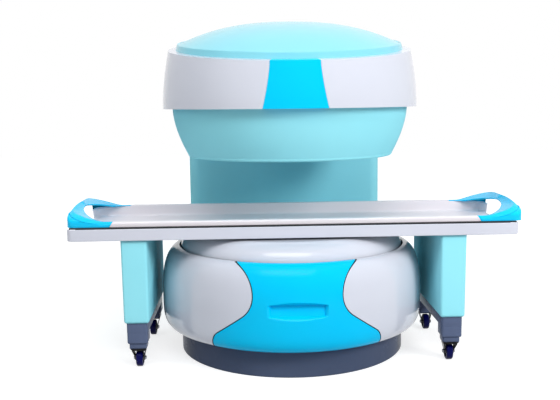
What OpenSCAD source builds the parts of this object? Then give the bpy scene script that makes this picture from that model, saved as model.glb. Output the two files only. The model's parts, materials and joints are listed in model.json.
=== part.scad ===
// Open veterinary magnet scanner: a lower and an upper round magnet housing on a rear column,
// with a patient table on castors that straddles the lower housing and carries a sliding,
// lift-off stretcher tray. Millimetres, +Z up. The origin is on the floor under the magnet axis,
// -Y is the front, and +X runs along the table.

/* [Lower housing] */
// Radius of the lower drum at its widest
drum_r = 650; // [600:1:700]
// Height of the drum from its underside to its top seam
drum_h = 396; // [360:1:430]
// Height of the drum's widest line above its underside
drum_wide_up = 172; // [150:1:190]
// Radius of the round plinth under the drum
plinth_r = 558; // [520:1:580]
// Height of the plinth
plinth_h = 128; // [110:1:150]
// Rise of the pole cover above the drum's top seam
pole_rise = 76; // [60:1:90]
// Radius of the pole cover where it leaves the drum
pole_cover_r = 554; // [530:1:556]
// Thickness of the moulded covers
shell_t = 6; // [4:0.5:8]
// Gap left round every cover that sits beside another
seam = 2; // [1:0.5:3]

/* [Front panel] */
// Half width of the front panel at its waist
waist_x = 197; // [150:1:230]
// Height of the waist above the drum's underside
waist_up = 262; // [230:1:290]
// Radius of the drum's white lobes, which the panel runs round
lobe_r = 122; // [100:1:135]
// Half width of the panel at its foot
panel_foot_x = 376; // [340:1:400]
// Radius of the panel's lower corners
foot_r = 60; // [45:1:70]
// Width of the pull recess
pull_w = 266; // [200:1:300]
// Height of the pull recess
pull_h = 81; // [50:1:90]
// Depth of the pull recess at its middle
pull_depth = 30; // [20:1:40]
// Height of the pull recess above the drum's underside
pull_up = 158; // [140:1:180]

/* [Gap and upper housing] */
// Clear height between the two pole covers
gap_h = 362; // [330:1:420]
// Height of the tapered bowl under the crown
bowl_h = 235; // [200:1:260]
// Radius of the bowl's flat underside
bowl_r = 494; // [460:1:510]
// Radius of the bowl where it meets the crown
bowl_top_r = 577; // [560:1:590]
// Radius of the crown at its foot
crown_r = 623; // [600:1:660]
// Height of the crown at the magnet axis
crown_h = 290; // [280:1:320]
// How far the crown draws in towards its top edge
crown_draft = 34; // [20:1:45]
// Slope of the crown's top towards the front, in degrees
crown_tilt = 8.25; // [4:0.25:9]
// Radius of the dome's foot
dome_r = 555; // [520:1:560]
// Height of the dome's upright rim
dome_rim_h = 28; // [15:1:40]
// Rise of the dome above its rim
dome_rise = 98; // [60:1:120]
// Half width of the crown's front plate at its foot
plate_foot_x = 141; // [100:1:170]
// Half width of the crown's front plate at its top
plate_top_x = 107; // [80:1:140]

/* [Magnet] */
// Thickness of the iron yoke plates
yoke_t = 110; // [80:1:115]
// Radius of the iron yoke plates
yoke_r = 515; // [490:1:525]
// Width of the iron post in the column
post_w = 600; // [450:1:640]
// Width of the yoke where it passes through the column's face
neck_w = 430; // [380:1:450]
// Depth of the iron post
post_d = 260; // [200:1:300]
// Thickness of each permanent magnet block
magnet_t = 110; // [80:1:115]
// Radius of each permanent magnet block
magnet_r = 490; // [450:1:500]
// Thickness of each pole plate
pole_t = 80; // [60:1:85]
// Radius of each pole plate and its shim ring
pole_r = 470; // [430:1:475]
// Radial width of the shim rings
shim_w = 50; // [30:1:70]
// Height of the shim rings
shim_h = 70; // [60:1:72]
// Thickness of each gradient coil
gradient_t = 40; // [25:1:42]
// Thickness of each radio coil
radio_t = 24; // [15:1:26]
// Clear depth between the shim rings and the inside of the pole covers
pole_air = 34; // [30:1:44]

/* [Column] */
// Width of the column
column_w = 1150; // [1000:1:1200]
// Depth of the column
column_d = 560; // [500:1:640]
// Distance from the magnet axis to the column's front face
column_y = 560; // [556:1:580]
// Height of the column
column_h = 1574; // [1560:1:1620]
// Radius of the column's front corners
column_front_r = 150; // [80:1:180]
// Radius of the column's rear corners
column_rear_r = 40; // [20:1:70]
// Width of the service panel at the back
rear_panel_w = 900; // [700:1:960]

/* [Foot plate] */
// Thickness of the steel foot plate
foot_plate_t = 20; // [15:1:30]
// Diameter of the circle of anchor holes
anchor_pcd = 1060; // [1050:1:1070]
// Radius of an anchor hole
anchor_hole_r = 9; // [7:0.5:11]

/* [Table] */
// Length of the table
table_len = 2052; // [1900:1:2200]
// Width of the table
table_w = 666; // [600:1:720]
// Distance of the table's centre line in front of the magnet axis
table_y = 87; // [60:1:110]
// Height of the apron round the table
apron_h = 54; // [50:1:70]
// Gap between the lower pole cover and the apron
apron_gap = 10; // [6:1:20]
// Thickness of the apron
apron_t = 5; // [4:0.5:7]
// Width of a leg cover
leg_w = 110; // [96:1:130]
// Gap between the drum and the leg covers
leg_gap = 25; // [15:1:40]
// How far the leg covers stand back from the apron
leg_inset = 14; // [8:1:25]
// Height of the leg covers' lower edge
leg_cover_z = 225; // [200:1:260]
// How far the feet stand in from the leg covers
foot_inset = 10; // [6:1:16]
// Height of the lower step of each foot
foot_step_h = 32; // [24:1:44]
// How far the lower step stands in from the foot
foot_step_inset = 8; // [4:1:10]
// Length of a foot's end block
foot_block_len = 92; // [84:1:120]
// Height of the beam between the end blocks
foot_beam_h = 50; // [36:1:70]

/* [Tray] */
// Height of the tray's rim above the slide line
rim_h = 30; // [26:1:40]
// Depth of the tray's trough below its rim
trough_d = 56; // [46:1:56]
// Width of the rim
rim_w = 39; // [34:1:44]
// Wall of the tray
tray_t = 4; // [3:0.5:5]
// Length of a handle along the tray
handle_len = 214; // [190:1:250]
// How far the handles reach past the ends of the table
handle_over = 24; // [14:1:40]
// Rise of the handles above the rim
handle_rise = 66; // [40:1:80]
// Width of the grip
grip_w = 42; // [34:1:56]
// Place of the tray along the table
tray_x = 12; // [-20:1:20]
// Radius of the tray's corners
tray_corner_r = 120; // [90:1:150]
// Width of the finger notch in each end of the trough
notch_w = 300; // [200:1:340]

/* [Castors] */
// Radius of a castor wheel
wheel_r = 40; // [35:1:42]
// Width of a castor tyre
wheel_w = 32; // [26:1:36]
// Radius of a wheel's hard core
core_r = 29; // [24:1:31]
// Radius of a wheel axle
axle_r = 5; // [4:0.5:6]
// Height of the castors
castor_h = 98; // [94:1:110]
// Offset of a wheel from its swivel
trail = 18; // [12:1:22]
// How far a castor's swivel stands in from the end of its foot
castor_in = 37; // [36:1:50]

/* [Fits] */
// Clearance between parts that move past each other
run = 0.6; // [0.4:0.1:1]
// Radial clearance of a wheel on its axle
bearing = 0.06; // [0.04:0.01:0.09]

/* [Hidden] */
$fn = 96;
big = 3000;
round_fn = 180;

turquoise = [0.60, 0.91, 0.93];
aqua = [0.78, 0.96, 0.97];
blue = [0.0, 0.78, 1.0];
white = [0.88, 0.88, 0.91];
slate = [0.33, 0.38, 0.47];
steel = [0.62, 0.64, 0.67];
iron = [0.42, 0.44, 0.47];
ferrite = [0.30, 0.31, 0.35];
copper = [0.72, 0.45, 0.28];
black = [0.08, 0.08, 0.09];
navy = [0.07, 0.08, 0.20];

// Heights of the magnet stack, from the floor up
drum_top = plinth_h + drum_h;
pole_top = drum_top + pole_rise;
bowl_z = pole_top + gap_h;
crown_z = bowl_z + bowl_h;
crown_top = crown_z + crown_h;
lower_shim_z = pole_top - shell_t - pole_air - shim_h;
upper_shim_z = bowl_z + shell_t + pole_air;
lower_pole_z = lower_shim_z - pole_t;
upper_pole_z = upper_shim_z + shim_h;
lower_magnet_z = lower_pole_z - magnet_t;
upper_magnet_z = upper_pole_z + pole_t;
lower_yoke_z = lower_magnet_z - yoke_t;
upper_yoke_z = upper_magnet_z + magnet_t;
post_y = column_y + 80;
post_back = post_y + post_d;

// Heights and places of the table and its tray
apron_z = pole_top + apron_gap;
slide_z = apron_z + apron_h;
strip_h = 6;
strip_z = slide_z + run;
tray_z = strip_z + strip_h + run;
rim_z = slide_z + rim_h;
leg_in = drum_r + leg_gap;
leg_mid = leg_in + leg_w / 2;
leg_len = table_w - 2 * leg_inset;
foot_w = leg_w - 2 * foot_inset;
foot_len = leg_len - 2 * foot_inset;
foot_block_z = castor_h + foot_step_h;
castor_y = foot_len / 2 - castor_in;
handle_end_x = table_len / 2 + handle_over;
handle_x = handle_end_x - handle_len;

// ---- profiles, as points [radius, height] -------------------------------------------------

// A power that keeps the sign of its base, for superellipse curves
function spow(v, p) = sign(v) * pow(abs(v), p);
function reverse(v) = [for (i = [len(v) - 1:-1:0]) v[i]];

// A whole outline from its right half
function both_sides(half) = concat(half, reverse([for (p = half) [-p.x, p.y]]));

// Drum: two quarter superellipses that meet at the widest radius, drawn in by d
drum_wide_z = plinth_h + drum_wide_up;
drum_foot_in = 110;
drum_top_in = drum_r - pole_cover_r - 3;
drum_foot_power = 2 / 4.4;
drum_top_power = 2 / 2.3;
function drum_low(t, d) = [drum_r - drum_foot_in + (drum_foot_in - d) * spow(cos(t), drum_foot_power),
    drum_wide_z - (drum_wide_z - plinth_h - d) * spow(sin(t), drum_foot_power)];
function drum_high(t, d) = [drum_r - drum_top_in + (drum_top_in - d) * spow(cos(t), drum_top_power),
    drum_wide_z + (drum_top - drum_wide_z - d) * spow(sin(t), drum_top_power)];
function drum_curve(d) = concat([for (t = [90:-7.5:7.5]) drum_low(t, d)],
    [for (t = [0:7.5:90]) drum_high(t, d)]);

// Pole cover: a quarter ellipse from the seam up to the flat top
pole_shoulder = 96;
function pole_curve(d) = concat([for (t = [0:7.5:90])
    [pole_cover_r - pole_shoulder + (pole_shoulder - d) * cos(t),
     drum_top - shell_t + (pole_rise + shell_t - d) * sin(t)]], [[0, pole_top - d]]);

// Bowl: draws in from the crown to a rounded lower edge and a flat underside
bowl_edge_r = 12;
function bowl_curve(d) = concat([for (i = [0:10]) let (t = i / 10)
    [bowl_top_r - d - (bowl_top_r - bowl_r - bowl_edge_r) * pow(t, 1.7),
     crown_z - t * (bowl_h - bowl_edge_r)]],
    [for (a = [-15:-15:-90]) [bowl_r + (bowl_edge_r - d) * cos(a),
     bowl_z + bowl_edge_r + (bowl_edge_r - d) * sin(a)]], [[0, bowl_z + d]]);

// Crown: upright at the foot, then drawn in as a power of the height
crown_straight = 28;
crown_rear_h = crown_h + (column_y + 10) * tan(crown_tilt) + 10;
function crown_radius(h) = crown_r - crown_draft
    * pow(max(0, h - crown_straight) / (crown_h - crown_straight), 1.6);
function crown_curve(d, foot) = concat([[crown_radius(foot) - d, crown_z + foot]],
    [for (i = [1:14]) let (h = crown_rear_h * i / 14) [crown_radius(h) - d, crown_z + h]]);

// Dome: a slightly tapered rim and a flat-topped cap, above the crown's sloping top
dome_taper = 9;
function dome_curve(d) = concat([[dome_r - d, 0], [dome_r - dome_taper - d, dome_rim_h - d / 2]],
    [for (i = [1:14]) let (q = 1 - i / 14)
    [(dome_r - dome_taper - d) * q, dome_rim_h - d + dome_rise * (1 - pow(q, 2.5))]]);

// ---- shared shapes --------------------------------------------------------------------------

module tube(r, inner, h) {
    difference() {
        cylinder(r = r, h = h);
        translate([0, 0, -1]) cylinder(r = inner, h = h + 2);
    }
}

module disc(r, z, h) translate([0, 0, z]) cylinder(r = r, h = h, $fn = round_fn);
module ring(r, w, z, h) translate([0, 0, z]) tube(r, r - w, h, $fn = round_fn);
module spin(points) rotate_extrude($fn = round_fn) polygon(points);

// A cover that is one wall thick, between a profile and the same profile drawn in
module shell(outer, inner) spin(concat(outer, reverse(inner)));

// A rounded rectangle about the origin
module pad(w, d, r) {
    for (x = [-1, 1]) for (y = [-1, 1]) translate([x * (w / 2 - r), y * (d / 2 - r)]) circle(r);
    square([w - 2 * r, d], center = true);
    square([w, d - 2 * r], center = true);
}

// A flat outline in X and Z, run from y0 to y1
module along_y(y0, y1) translate([0, y1, 0]) rotate([90, 0, 0]) linear_extrude(y1 - y0) children();

// An outline in Y and Z, run from x0 to x1
module along_x(x0, x1) translate([x0, 0, 0]) rotate([90, 0, 90]) linear_extrude(x1 - x0) children();

// The way through the covers for the foot, the base and the yoke
neck_gap = 6;
module neck_space(z0, z1) translate([-neck_w / 2 - neck_gap, 0, z0])
    cube([neck_w + 2 * neck_gap, big, z1 - z0]);
module before_column() translate([-big / 2, column_y - seam - big, -1]) cube([big, big, big]);
module side(s) translate([s > 0 ? seam / 4 : -big - seam / 4, -big / 2, -1]) cube([big, big, big]);

// Places on the table, which is centred in front of the magnet axis
module at_table() translate([0, -table_y, 0]) children();
module at_tray() translate([tray_x, -table_y, 0]) children();

// ---- foot and yoke --------------------------------------------------------------------------

module foot_plate() {
    color(steel) difference() {
        union() {
            cylinder(r = plinth_r - shell_t - 4, h = foot_plate_t, $fn = round_fn);
            translate([-neck_w / 2, 0, 0]) cube([neck_w, post_back, foot_plate_t]);
        }
        for (a = [45:90:315]) rotate([0, 0, a])
            translate([anchor_pcd / 2, 0, -1]) cylinder(r = anchor_hole_r, h = foot_plate_t + 2);
    }
}

base_ring_r = anchor_pcd / 2 - 50;
base_ring_w = 70;
beam_w = 80;
beam_y = sqrt(pow(base_ring_r, 2) - pow(neck_w / 2, 2)) - 6;
module base_frame() {
    h = lower_yoke_z - foot_plate_t;
    color(iron) translate([0, 0, foot_plate_t]) {
        tube(base_ring_r, base_ring_r - base_ring_w, h, $fn = round_fn);
        for (s = [-1, 1]) translate([s * (neck_w - beam_w) / 2 - beam_w / 2, beam_y, 0])
            cube([beam_w, post_back - beam_y, h]);
    }
}

module yoke_plate(z) {
    color(iron) {
        disc(yoke_r, z, yoke_t);
        translate([-neck_w / 2, 0, z]) cube([neck_w, post_back, yoke_t]);
        translate([-post_w / 2, post_y, z]) cube([post_w, post_d, yoke_t]);
    }
}

module lower_yoke() yoke_plate(lower_yoke_z);
module upper_yoke() yoke_plate(upper_yoke_z);

module yoke_post() {
    color(iron) translate([-post_w / 2, post_y, lower_magnet_z])
        cube([post_w, post_d, upper_yoke_z - lower_magnet_z]);
}

bolt_r = 20;
bolt_head_h = 22;
module yoke_bolts() {
    color(steel) for (x = [-3:2:3]) for (y = [0.25, 0.75])
        translate([x * post_w / 8, post_y + y * post_d, upper_yoke_z + yoke_t])
            cylinder(r = bolt_r, h = bolt_head_h, $fn = 6);
}

// ---- magnet blocks, pole plates and coils -----------------------------------------------------

coil_r = pole_r - shim_w - 3;
module lower_magnet() color(ferrite) disc(magnet_r, lower_magnet_z, magnet_t);
module upper_magnet() color(ferrite) disc(magnet_r, upper_magnet_z, magnet_t);
module lower_pole_plate() color(iron) disc(pole_r, lower_pole_z, pole_t);
module upper_pole_plate() color(iron) disc(pole_r, upper_pole_z, pole_t);
module lower_shim_ring() color(steel) ring(pole_r, shim_w, lower_shim_z, shim_h);
module upper_shim_ring() color(steel) ring(pole_r, shim_w, upper_shim_z, shim_h);
module lower_gradient_coil() color(copper) disc(coil_r, lower_shim_z, gradient_t);
module upper_gradient_coil() color(copper) disc(coil_r, upper_pole_z - gradient_t, gradient_t);
module lower_radio_coil() color(white) disc(coil_r, lower_shim_z + gradient_t, radio_t);
module upper_radio_coil() color(white)
    disc(coil_r, upper_pole_z - gradient_t - radio_t, radio_t);

// ---- lower covers -----------------------------------------------------------------------------

plinth_round = 5;
module plinth_cover() {
    color(slate) difference() {
        spin(concat([[plinth_r - shell_t, plinth_h - seam], [plinth_r - shell_t, 0],
                     [plinth_r - plinth_round, 0]],
            [for (a = [-75:15:0]) [plinth_r - plinth_round + plinth_round * cos(a),
             plinth_round * (1 + sin(a))]],
            [[plinth_r, plinth_h - seam]]));
        neck_space(-1, plinth_h + 1);
    }
}

// Half of the front panel's outline, grown by g. It goes down round the drum's side lobe, along
// the straight line that touches both arcs, and round the panel's lower corner.
lobe = [waist_x + lobe_r, plinth_h + waist_up];
foot = [panel_foot_x - foot_r, plinth_h + foot_r * 0.6];
touch_a = atan2(lobe.y - foot.y, lobe.x - foot.x) - acos((lobe_r + foot_r) / norm(lobe - foot));
lobe_top_a = 112;
function half_panel(g) = concat(
    [[lobe.x + (lobe_r - g) * cos(lobe_top_a), drum_top + 60]],
    [for (i = [0:14]) let (a = lobe_top_a + (touch_a + 180 - lobe_top_a) * i / 14)
        lobe + (lobe_r - g) * [cos(a), sin(a)]],
    [for (i = [0:10]) let (a = touch_a - (touch_a + 60) * i / 10)
        foot + (foot_r + g) * [cos(a), sin(a)]],
    [[foot.x + (foot_r + g) * cos(-60), plinth_h - 60]]);
module panel_prism(g) along_y(-big / 2, 0) polygon(both_sides(half_panel(g)));

module drum_wall() shell(drum_curve(0), drum_curve(shell_t));
module drum_cover(s) {
    color(white) intersection() {
        difference() {
            drum_wall();
            panel_prism(seam);
            neck_space(plinth_h - 1, lower_magnet_z + neck_gap);
        }
        before_column();
        side(s);
    }
}
module drum_cover_left() drum_cover(-1);
module drum_cover_right() drum_cover(1);

module pole_cover() {
    color(white) intersection() {
        shell(pole_curve(0), pole_curve(shell_t));
        before_column();
    }
}

// The pull recess: a lens outline, cut back to a sloping bed
pull_z = plinth_h + pull_up + pull_h / 2;
pull_bow = 14;
pull_wall = 4;
function bow(x) = pull_bow * (1 - pow(2 * x / pull_w, 2));
function pull_outline(g) = concat(
    [for (i = [-6:6]) let (x = i * pull_w / 12)
        [x + sign(i) * g, pull_z - pull_h / 2 + pull_bow - bow(x) - g]],
    [for (i = [6:-1:-6]) let (x = i * pull_w / 12)
        [x + sign(i) * g, pull_z + pull_h / 2 - pull_bow + bow(x) + g]]);
bed_slope = -14;
module pull_space(g) intersection() {
    along_y(-drum_r - 50, -drum_r / 2) polygon(pull_outline(g));
    translate([0, -drum_r + pull_depth + g, pull_z]) rotate([bed_slope, 0, 0])
        translate([-big / 2, -big, -big / 2]) cube([big, big, big]);
}

module drum_front_panel() {
    color(blue) difference() {
        union() {
            intersection() {
                drum_wall();
                panel_prism(0);
            }
            intersection() {
                pull_space(pull_wall);
                spin(concat(drum_curve(0), [[0, drum_top], [0, plinth_h]]));
            }
        }
        pull_space(0);
    }
}

pin_r = 6;
pin_len = 40;
socket_r = 13;
socket_back = 50;
socket_y = -drum_r + socket_back;
pin_places = [for (s = [-1, 1]) for (p = [[180, 0.5, lower_yoke_z + yoke_t / 2, yoke_r],
    [145, 0.5, lower_pole_z + pole_t / 2, pole_r]]) [s * p[0], p[2], p[3]]];
module panel_pins() {
    color(steel) for (p = pin_places) intersection() {
        translate([p[0], socket_y + pin_len, p[1]]) rotate([90, 0, 0])
            cylinder(r = pin_r, h = drum_r);
        spin(concat(drum_curve(shell_t), [[0, drum_top - shell_t], [0, plinth_h + shell_t]]));
    }
}

module panel_sockets() {
    color(black) for (p = pin_places) difference() {
        translate([p[0], 0, p[1]]) rotate([90, 0, 0]) cylinder(r = socket_r, h = -socket_y);
        disc(p[2], p[1] - socket_r - 1, 2 * socket_r + 2);
        translate([p[0], socket_y + pin_len + 4, p[1]]) rotate([90, 0, 0])
            cylinder(r = pin_r + run, h = big);
    }
}

// ---- column -------------------------------------------------------------------------------------

module column_plan(g) {
    w = column_w - 2 * g;
    front_r = column_front_r - g;
    rear_r = column_rear_r - g;
    for (s = [-1, 1]) {
        translate([s * (w / 2 - front_r), g + front_r]) circle(front_r);
        translate([s * (w / 2 - rear_r), column_d - g - rear_r]) circle(rear_r);
    }
    translate([-w / 2 + front_r, g]) square([w - 2 * front_r, column_d / 2]);
    translate([-w / 2, g + front_r]) square([w, column_d - 2 * g - front_r - rear_r]);
    translate([-w / 2 + rear_r, column_d / 2]) square([w - 2 * rear_r, column_d / 2 - g]);
}

// Openings in the column's front wall, where the foot, the base and the two yokes go through
rear_panel_z = 60;
rear_panel_h = column_h - 140;
module column_cover() {
    color(turquoise) difference() {
        translate([0, column_y, 0]) linear_extrude(column_h) column_plan(0);
        translate([0, column_y, -1]) linear_extrude(column_h - shell_t + 1) column_plan(shell_t);
        intersection() {
            translate([-big / 2, column_y - 1, -1]) cube([big, shell_t + 2, big]);
            union() {
                neck_space(-1, lower_magnet_z + neck_gap);
                neck_space(upper_yoke_z - neck_gap, upper_yoke_z + yoke_t + neck_gap);
            }
        }
        translate([-rear_panel_w / 2, column_y + column_d - shell_t - 1, rear_panel_z])
            cube([rear_panel_w, shell_t + 2, rear_panel_h]);
    }
}

vent_count = 9;
vent_w = 520;
vent_h = 10;
module rear_panel() {
    color(turquoise) translate([0, column_y + column_d - shell_t, rear_panel_z]) difference() {
        translate([-rear_panel_w / 2 + seam, 0, seam])
            cube([rear_panel_w - 2 * seam, shell_t, rear_panel_h - 2 * seam]);
        for (z = [0.14, 0.76]) for (i = [0:vent_count - 1])
            translate([-vent_w / 2, -1, z * rear_panel_h + i * 2.2 * vent_h])
                cube([vent_w, shell_t + 2, vent_h]);
    }
}

// ---- upper covers -------------------------------------------------------------------------------

module bowl_cover() {
    color(turquoise) intersection() {
        shell(bowl_curve(0), bowl_curve(shell_t));
        before_column();
    }
}

// The space below the crown's sloping top, lowered by d
module below_slope(d) translate([0, 0, crown_top - d]) rotate([crown_tilt, 0, 0])
    translate([-big / 2, -big / 2, -big]) cube([big, big, big]);

module crown_body(d, base) spin(concat([[0, crown_z + base]], crown_curve(d, base),
    [[0, crown_z + crown_rear_h]]));

// The crown's front plate, from edge to edge, with sides that curve towards the foot
function plate_x(t, g) = plate_top_x + (plate_foot_x - plate_top_x) * pow(1 - t, 1.5) + g;
function half_plate(g) = concat([[plate_x(0, g), crown_z - 50]],
    [for (i = [0:8]) [plate_x(i / 8, g), crown_z + crown_h * 0.72 * i / 8]],
    [[plate_x(1, g), crown_top + 50]]);
module plate_prism(g) along_y(-big / 2, 0) polygon(both_sides(half_plate(g)));

// The whole crown: a wall with a sloping ledge inside its top and a level one inside its foot
crown_rim_w = 66;
module crown_hollow() intersection() {
    difference() {
        crown_body(0, 0);
        intersection() {
            crown_body(shell_t, shell_t);
            below_slope(shell_t);
        }
        disc(crown_r - crown_draft - crown_rim_w, 0, big);
        disc(bowl_top_r - shell_t, crown_z - 1, shell_t + 2);
    }
    below_slope(0);
}

// Radius at which the front plate ends behind, under the crown's ledges
plate_back_r = crown_r - crown_draft - 2 * shell_t;
module crown_cover(s) {
    color(white) intersection() {
        difference() {
            crown_hollow();
            difference() {
                plate_prism(seam / 2);
                disc(plate_back_r, 0, big);
            }
        }
        before_column();
        side(s);
    }
}
module crown_cover_left() crown_cover(-1);
module crown_cover_right() crown_cover(1);

module crown_plate() {
    color(blue) difference() {
        intersection() {
            crown_hollow();
            plate_prism(0);
        }
        disc(plate_back_r + seam / 2, 0, big);
    }
}

module dome_cover() {
    color(aqua) translate([0, 0, crown_top]) rotate([crown_tilt, 0, 0])
        shell(dome_curve(0), dome_curve(shell_t));
}

// ---- table --------------------------------------------------------------------------------------

rail_w = 26;
rail_out = table_w / 2 - apron_t - 2;
rail_in = rail_out - rail_w;
apron_r = 28;
deck_t = 6;
end_sill = 10;
end_gap = rail_in + 4;
frame_len = table_len - 2 * apron_t - 4;
module table_frame() {
    color(steel) at_table() {
        translate([0, 0, apron_z]) linear_extrude(deck_t)
            pad(frame_len, 2 * rail_out, apron_r - apron_t);
        for (s = [-1, 1]) translate([-frame_len / 2 + apron_r, s * (rail_out - rail_w / 2)
            - rail_w / 2, apron_z + deck_t]) cube([frame_len - 2 * apron_r, rail_w, 24]);
    }
}

module table_apron() {
    color(white) at_table() difference() {
        translate([0, 0, apron_z]) linear_extrude(apron_h) pad(table_len, table_w, apron_r);
        translate([0, 0, apron_z - 1]) linear_extrude(apron_h + 2)
            pad(table_len - 2 * apron_t, table_w - 2 * apron_t, apron_r - apron_t);
        translate([-big / 2, -end_gap, apron_z + end_sill]) cube([big, 2 * end_gap, apron_h]);
    }
}

groove_h = 6;
module slide_rails() {
    color(black) at_table() for (s = [-1, 1]) difference() {
        translate([-frame_len / 2 + apron_r, s * (rail_out - rail_w / 2) - rail_w / 2,
            apron_z + deck_t + 24])
            cube([frame_len - 2 * apron_r, rail_w, apron_h - deck_t - 24]);
        translate([-big / 2, s * rail_out - 2, slide_z - 14]) cube([big, 4, groove_h]);
    }
}

// A leg cover: rounded at its upright corners and along its lower edge, open at the top
leg_round = 12;
module leg_cover(s) {
    color(turquoise) at_table() translate([s * leg_mid, 0, 0]) difference() {
        hull() for (x = [-1, 1]) for (y = [-1, 1])
            translate([x * (leg_w / 2 - leg_round), y * (leg_len / 2 - leg_round), 0]) {
                translate([0, 0, leg_cover_z + leg_round]) sphere(leg_round, $fn = 32);
                translate([0, 0, apron_z - 1]) cylinder(r = leg_round, h = 1, $fn = 32);
            }
        translate([-leg_w / 2 + shell_t, -leg_len / 2 + shell_t, leg_cover_z + shell_t])
            cube([leg_w - 2 * shell_t, leg_len - 2 * shell_t, big]);
        for (y = [-1, 1]) translate([-post_tube / 2 - 2, y * post_span - post_tube / 2 - 2, 0])
            cube([post_tube + 4, post_tube + 4, big]);
    }
}
module leg_cover_left() leg_cover(-1);
module leg_cover_right() leg_cover(1);

post_tube = 50;
post_wall = 4;
post_span = leg_len / 2 - 60;
module leg_posts() {
    color(steel) at_table() for (x = [-1, 1]) for (y = [-1, 1])
        translate([x * leg_mid, y * post_span, leg_cover_z]) difference() {
            translate([-post_tube / 2, -post_tube / 2, 0])
                cube([post_tube, post_tube, apron_z - leg_cover_z]);
            translate([-post_tube / 2 + post_wall, -post_tube / 2 + post_wall, -1])
                cube([post_tube - 2 * post_wall, post_tube - 2 * post_wall, big]);
        }
}

// A foot: a beam with a block at each end, and a smaller step under each block
foot_round = 9;
arch_round = 14;
module foot(s) {
    beam_z = leg_cover_z - foot_beam_h;
    arch = foot_len / 2 - foot_block_len;
    color(slate) at_table() translate([s * leg_mid, 0, 0]) {
        difference() {
            translate([0, 0, foot_block_z]) linear_extrude(leg_cover_z - foot_block_z)
                pad(foot_w, foot_len, foot_round);
            along_x(-foot_w, foot_w) {
                translate([-arch, foot_block_z - 1])
                    square([2 * arch, beam_z - foot_block_z + 1 - arch_round]);
                translate([-arch + arch_round, foot_block_z])
                    square([2 * (arch - arch_round), beam_z - foot_block_z]);
                for (y = [-1, 1]) translate([y * (arch - arch_round), beam_z - arch_round])
                    circle(arch_round);
            }
        }
        for (y = [-1, 1]) translate([0, y * (foot_len / 2 - foot_block_len / 2), castor_h])
            linear_extrude(foot_step_h) pad(foot_w - 2 * foot_step_inset,
                foot_block_len - 2 * foot_step_inset, foot_round);
    }
}
module foot_left() foot(-1);
module foot_right() foot(1);

// ---- carriage and tray --------------------------------------------------------------------------

tray_half = table_w / 2 - apron_t - 13;
trough_half = tray_half - rim_w;
hanger_t = 5;
hanger_y = rail_in - 1 - hanger_t;
bar_z = rim_z - trough_d - tray_t - 10;
bar_t = 6;
bar_w = 60;
bar_end = 326;
bar_x = [for (i = [-2:2]) i * (table_len / 2 - bar_end) / 2];
strip_len = table_len - 12;
module carriage() {
    color(black) at_table() {
        for (s = [-1, 1]) translate([-strip_len / 2, s > 0 ? hanger_y : -rail_out, strip_z])
            cube([strip_len, rail_out - hanger_y, strip_h]);
        for (x = bar_x) {
            translate([x - bar_w / 2, -hanger_y - hanger_t, bar_z])
                cube([bar_w, 2 * (hanger_y + hanger_t), bar_t]);
            for (s = [-1, 1]) translate([x - bar_w / 2, s > 0 ? hanger_y : -hanger_y - hanger_t,
                bar_z + bar_t]) cube([bar_w, hanger_t, strip_z - bar_z - bar_t]);
        }
    }
}

shoe_h = 10;
module slide_shoes() {
    color(white) at_table() for (x = bar_x) for (s = [-1, 1])
        translate([x - bar_w / 2, s > 0 ? hanger_y - 4 : -hanger_y, strip_z - shoe_h - 4])
            cube([bar_w, 4 - run, shoe_h]);
}

// Tray: a rimmed trough. The rim steps down under each handle.
rim_fold = 10;
trough_x = handle_end_x - grip_w - 4;
trough_r = 60;
end_inset = 8;
handle_seat = 4.2;
rim_profile = concat([[0, 0], [tray_t, 0], [tray_t, rim_z - tray_z - rim_fold]],
    [for (a = [180:-15:90]) [rim_fold + (rim_fold - tray_t) * cos(a),
     rim_z - tray_z - rim_fold + (rim_fold - tray_t) * sin(a)]],
    [[rim_w, rim_z - tray_z - tray_t], [rim_w, rim_z - tray_z]],
    [for (a = [90:15:180]) [rim_fold + rim_fold * cos(a), rim_z - tray_z - rim_fold + rim_fold * sin(a)]]);
module tray_shell() {
    floor_z = rim_z - trough_d - tray_t;
    seat_z = rim_z - handle_seat;
    color(white) at_tray() {
        difference() {
            union() {
                translate([0, 0, floor_z]) linear_extrude(seat_z - floor_z)
                    pad(2 * trough_x, 2 * (trough_half + tray_t), trough_r + tray_t);
                translate([-handle_x, -trough_half - tray_t, seat_z - 1])
                    cube([2 * handle_x, 2 * (trough_half + tray_t), rim_z - seat_z + 1]);
                difference() {
                    translate([0, 0, seat_z - tray_t]) linear_extrude(tray_t) pad(
                        2 * (trough_x + 6), 2 * (tray_half - end_inset), tray_corner_r - end_inset);
                    translate([-handle_x + rim_fold, -big / 2, 0])
                        cube([2 * (handle_x - rim_fold), big, big]);
                }
            }
            translate([0, 0, floor_z + tray_t]) linear_extrude(big)
                pad(2 * (trough_x - tray_t), 2 * trough_half, trough_r);
            translate([-big / 2, -notch_w / 2, floor_z + tray_t]) cube([big, notch_w, big]);
        }
        for (s = [-1, 1]) rotate([0, 0, s > 0 ? 0 : 180]) along_x(-handle_x, handle_x)
            translate([-tray_half, tray_z]) polygon(rim_profile);
    }
}

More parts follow.
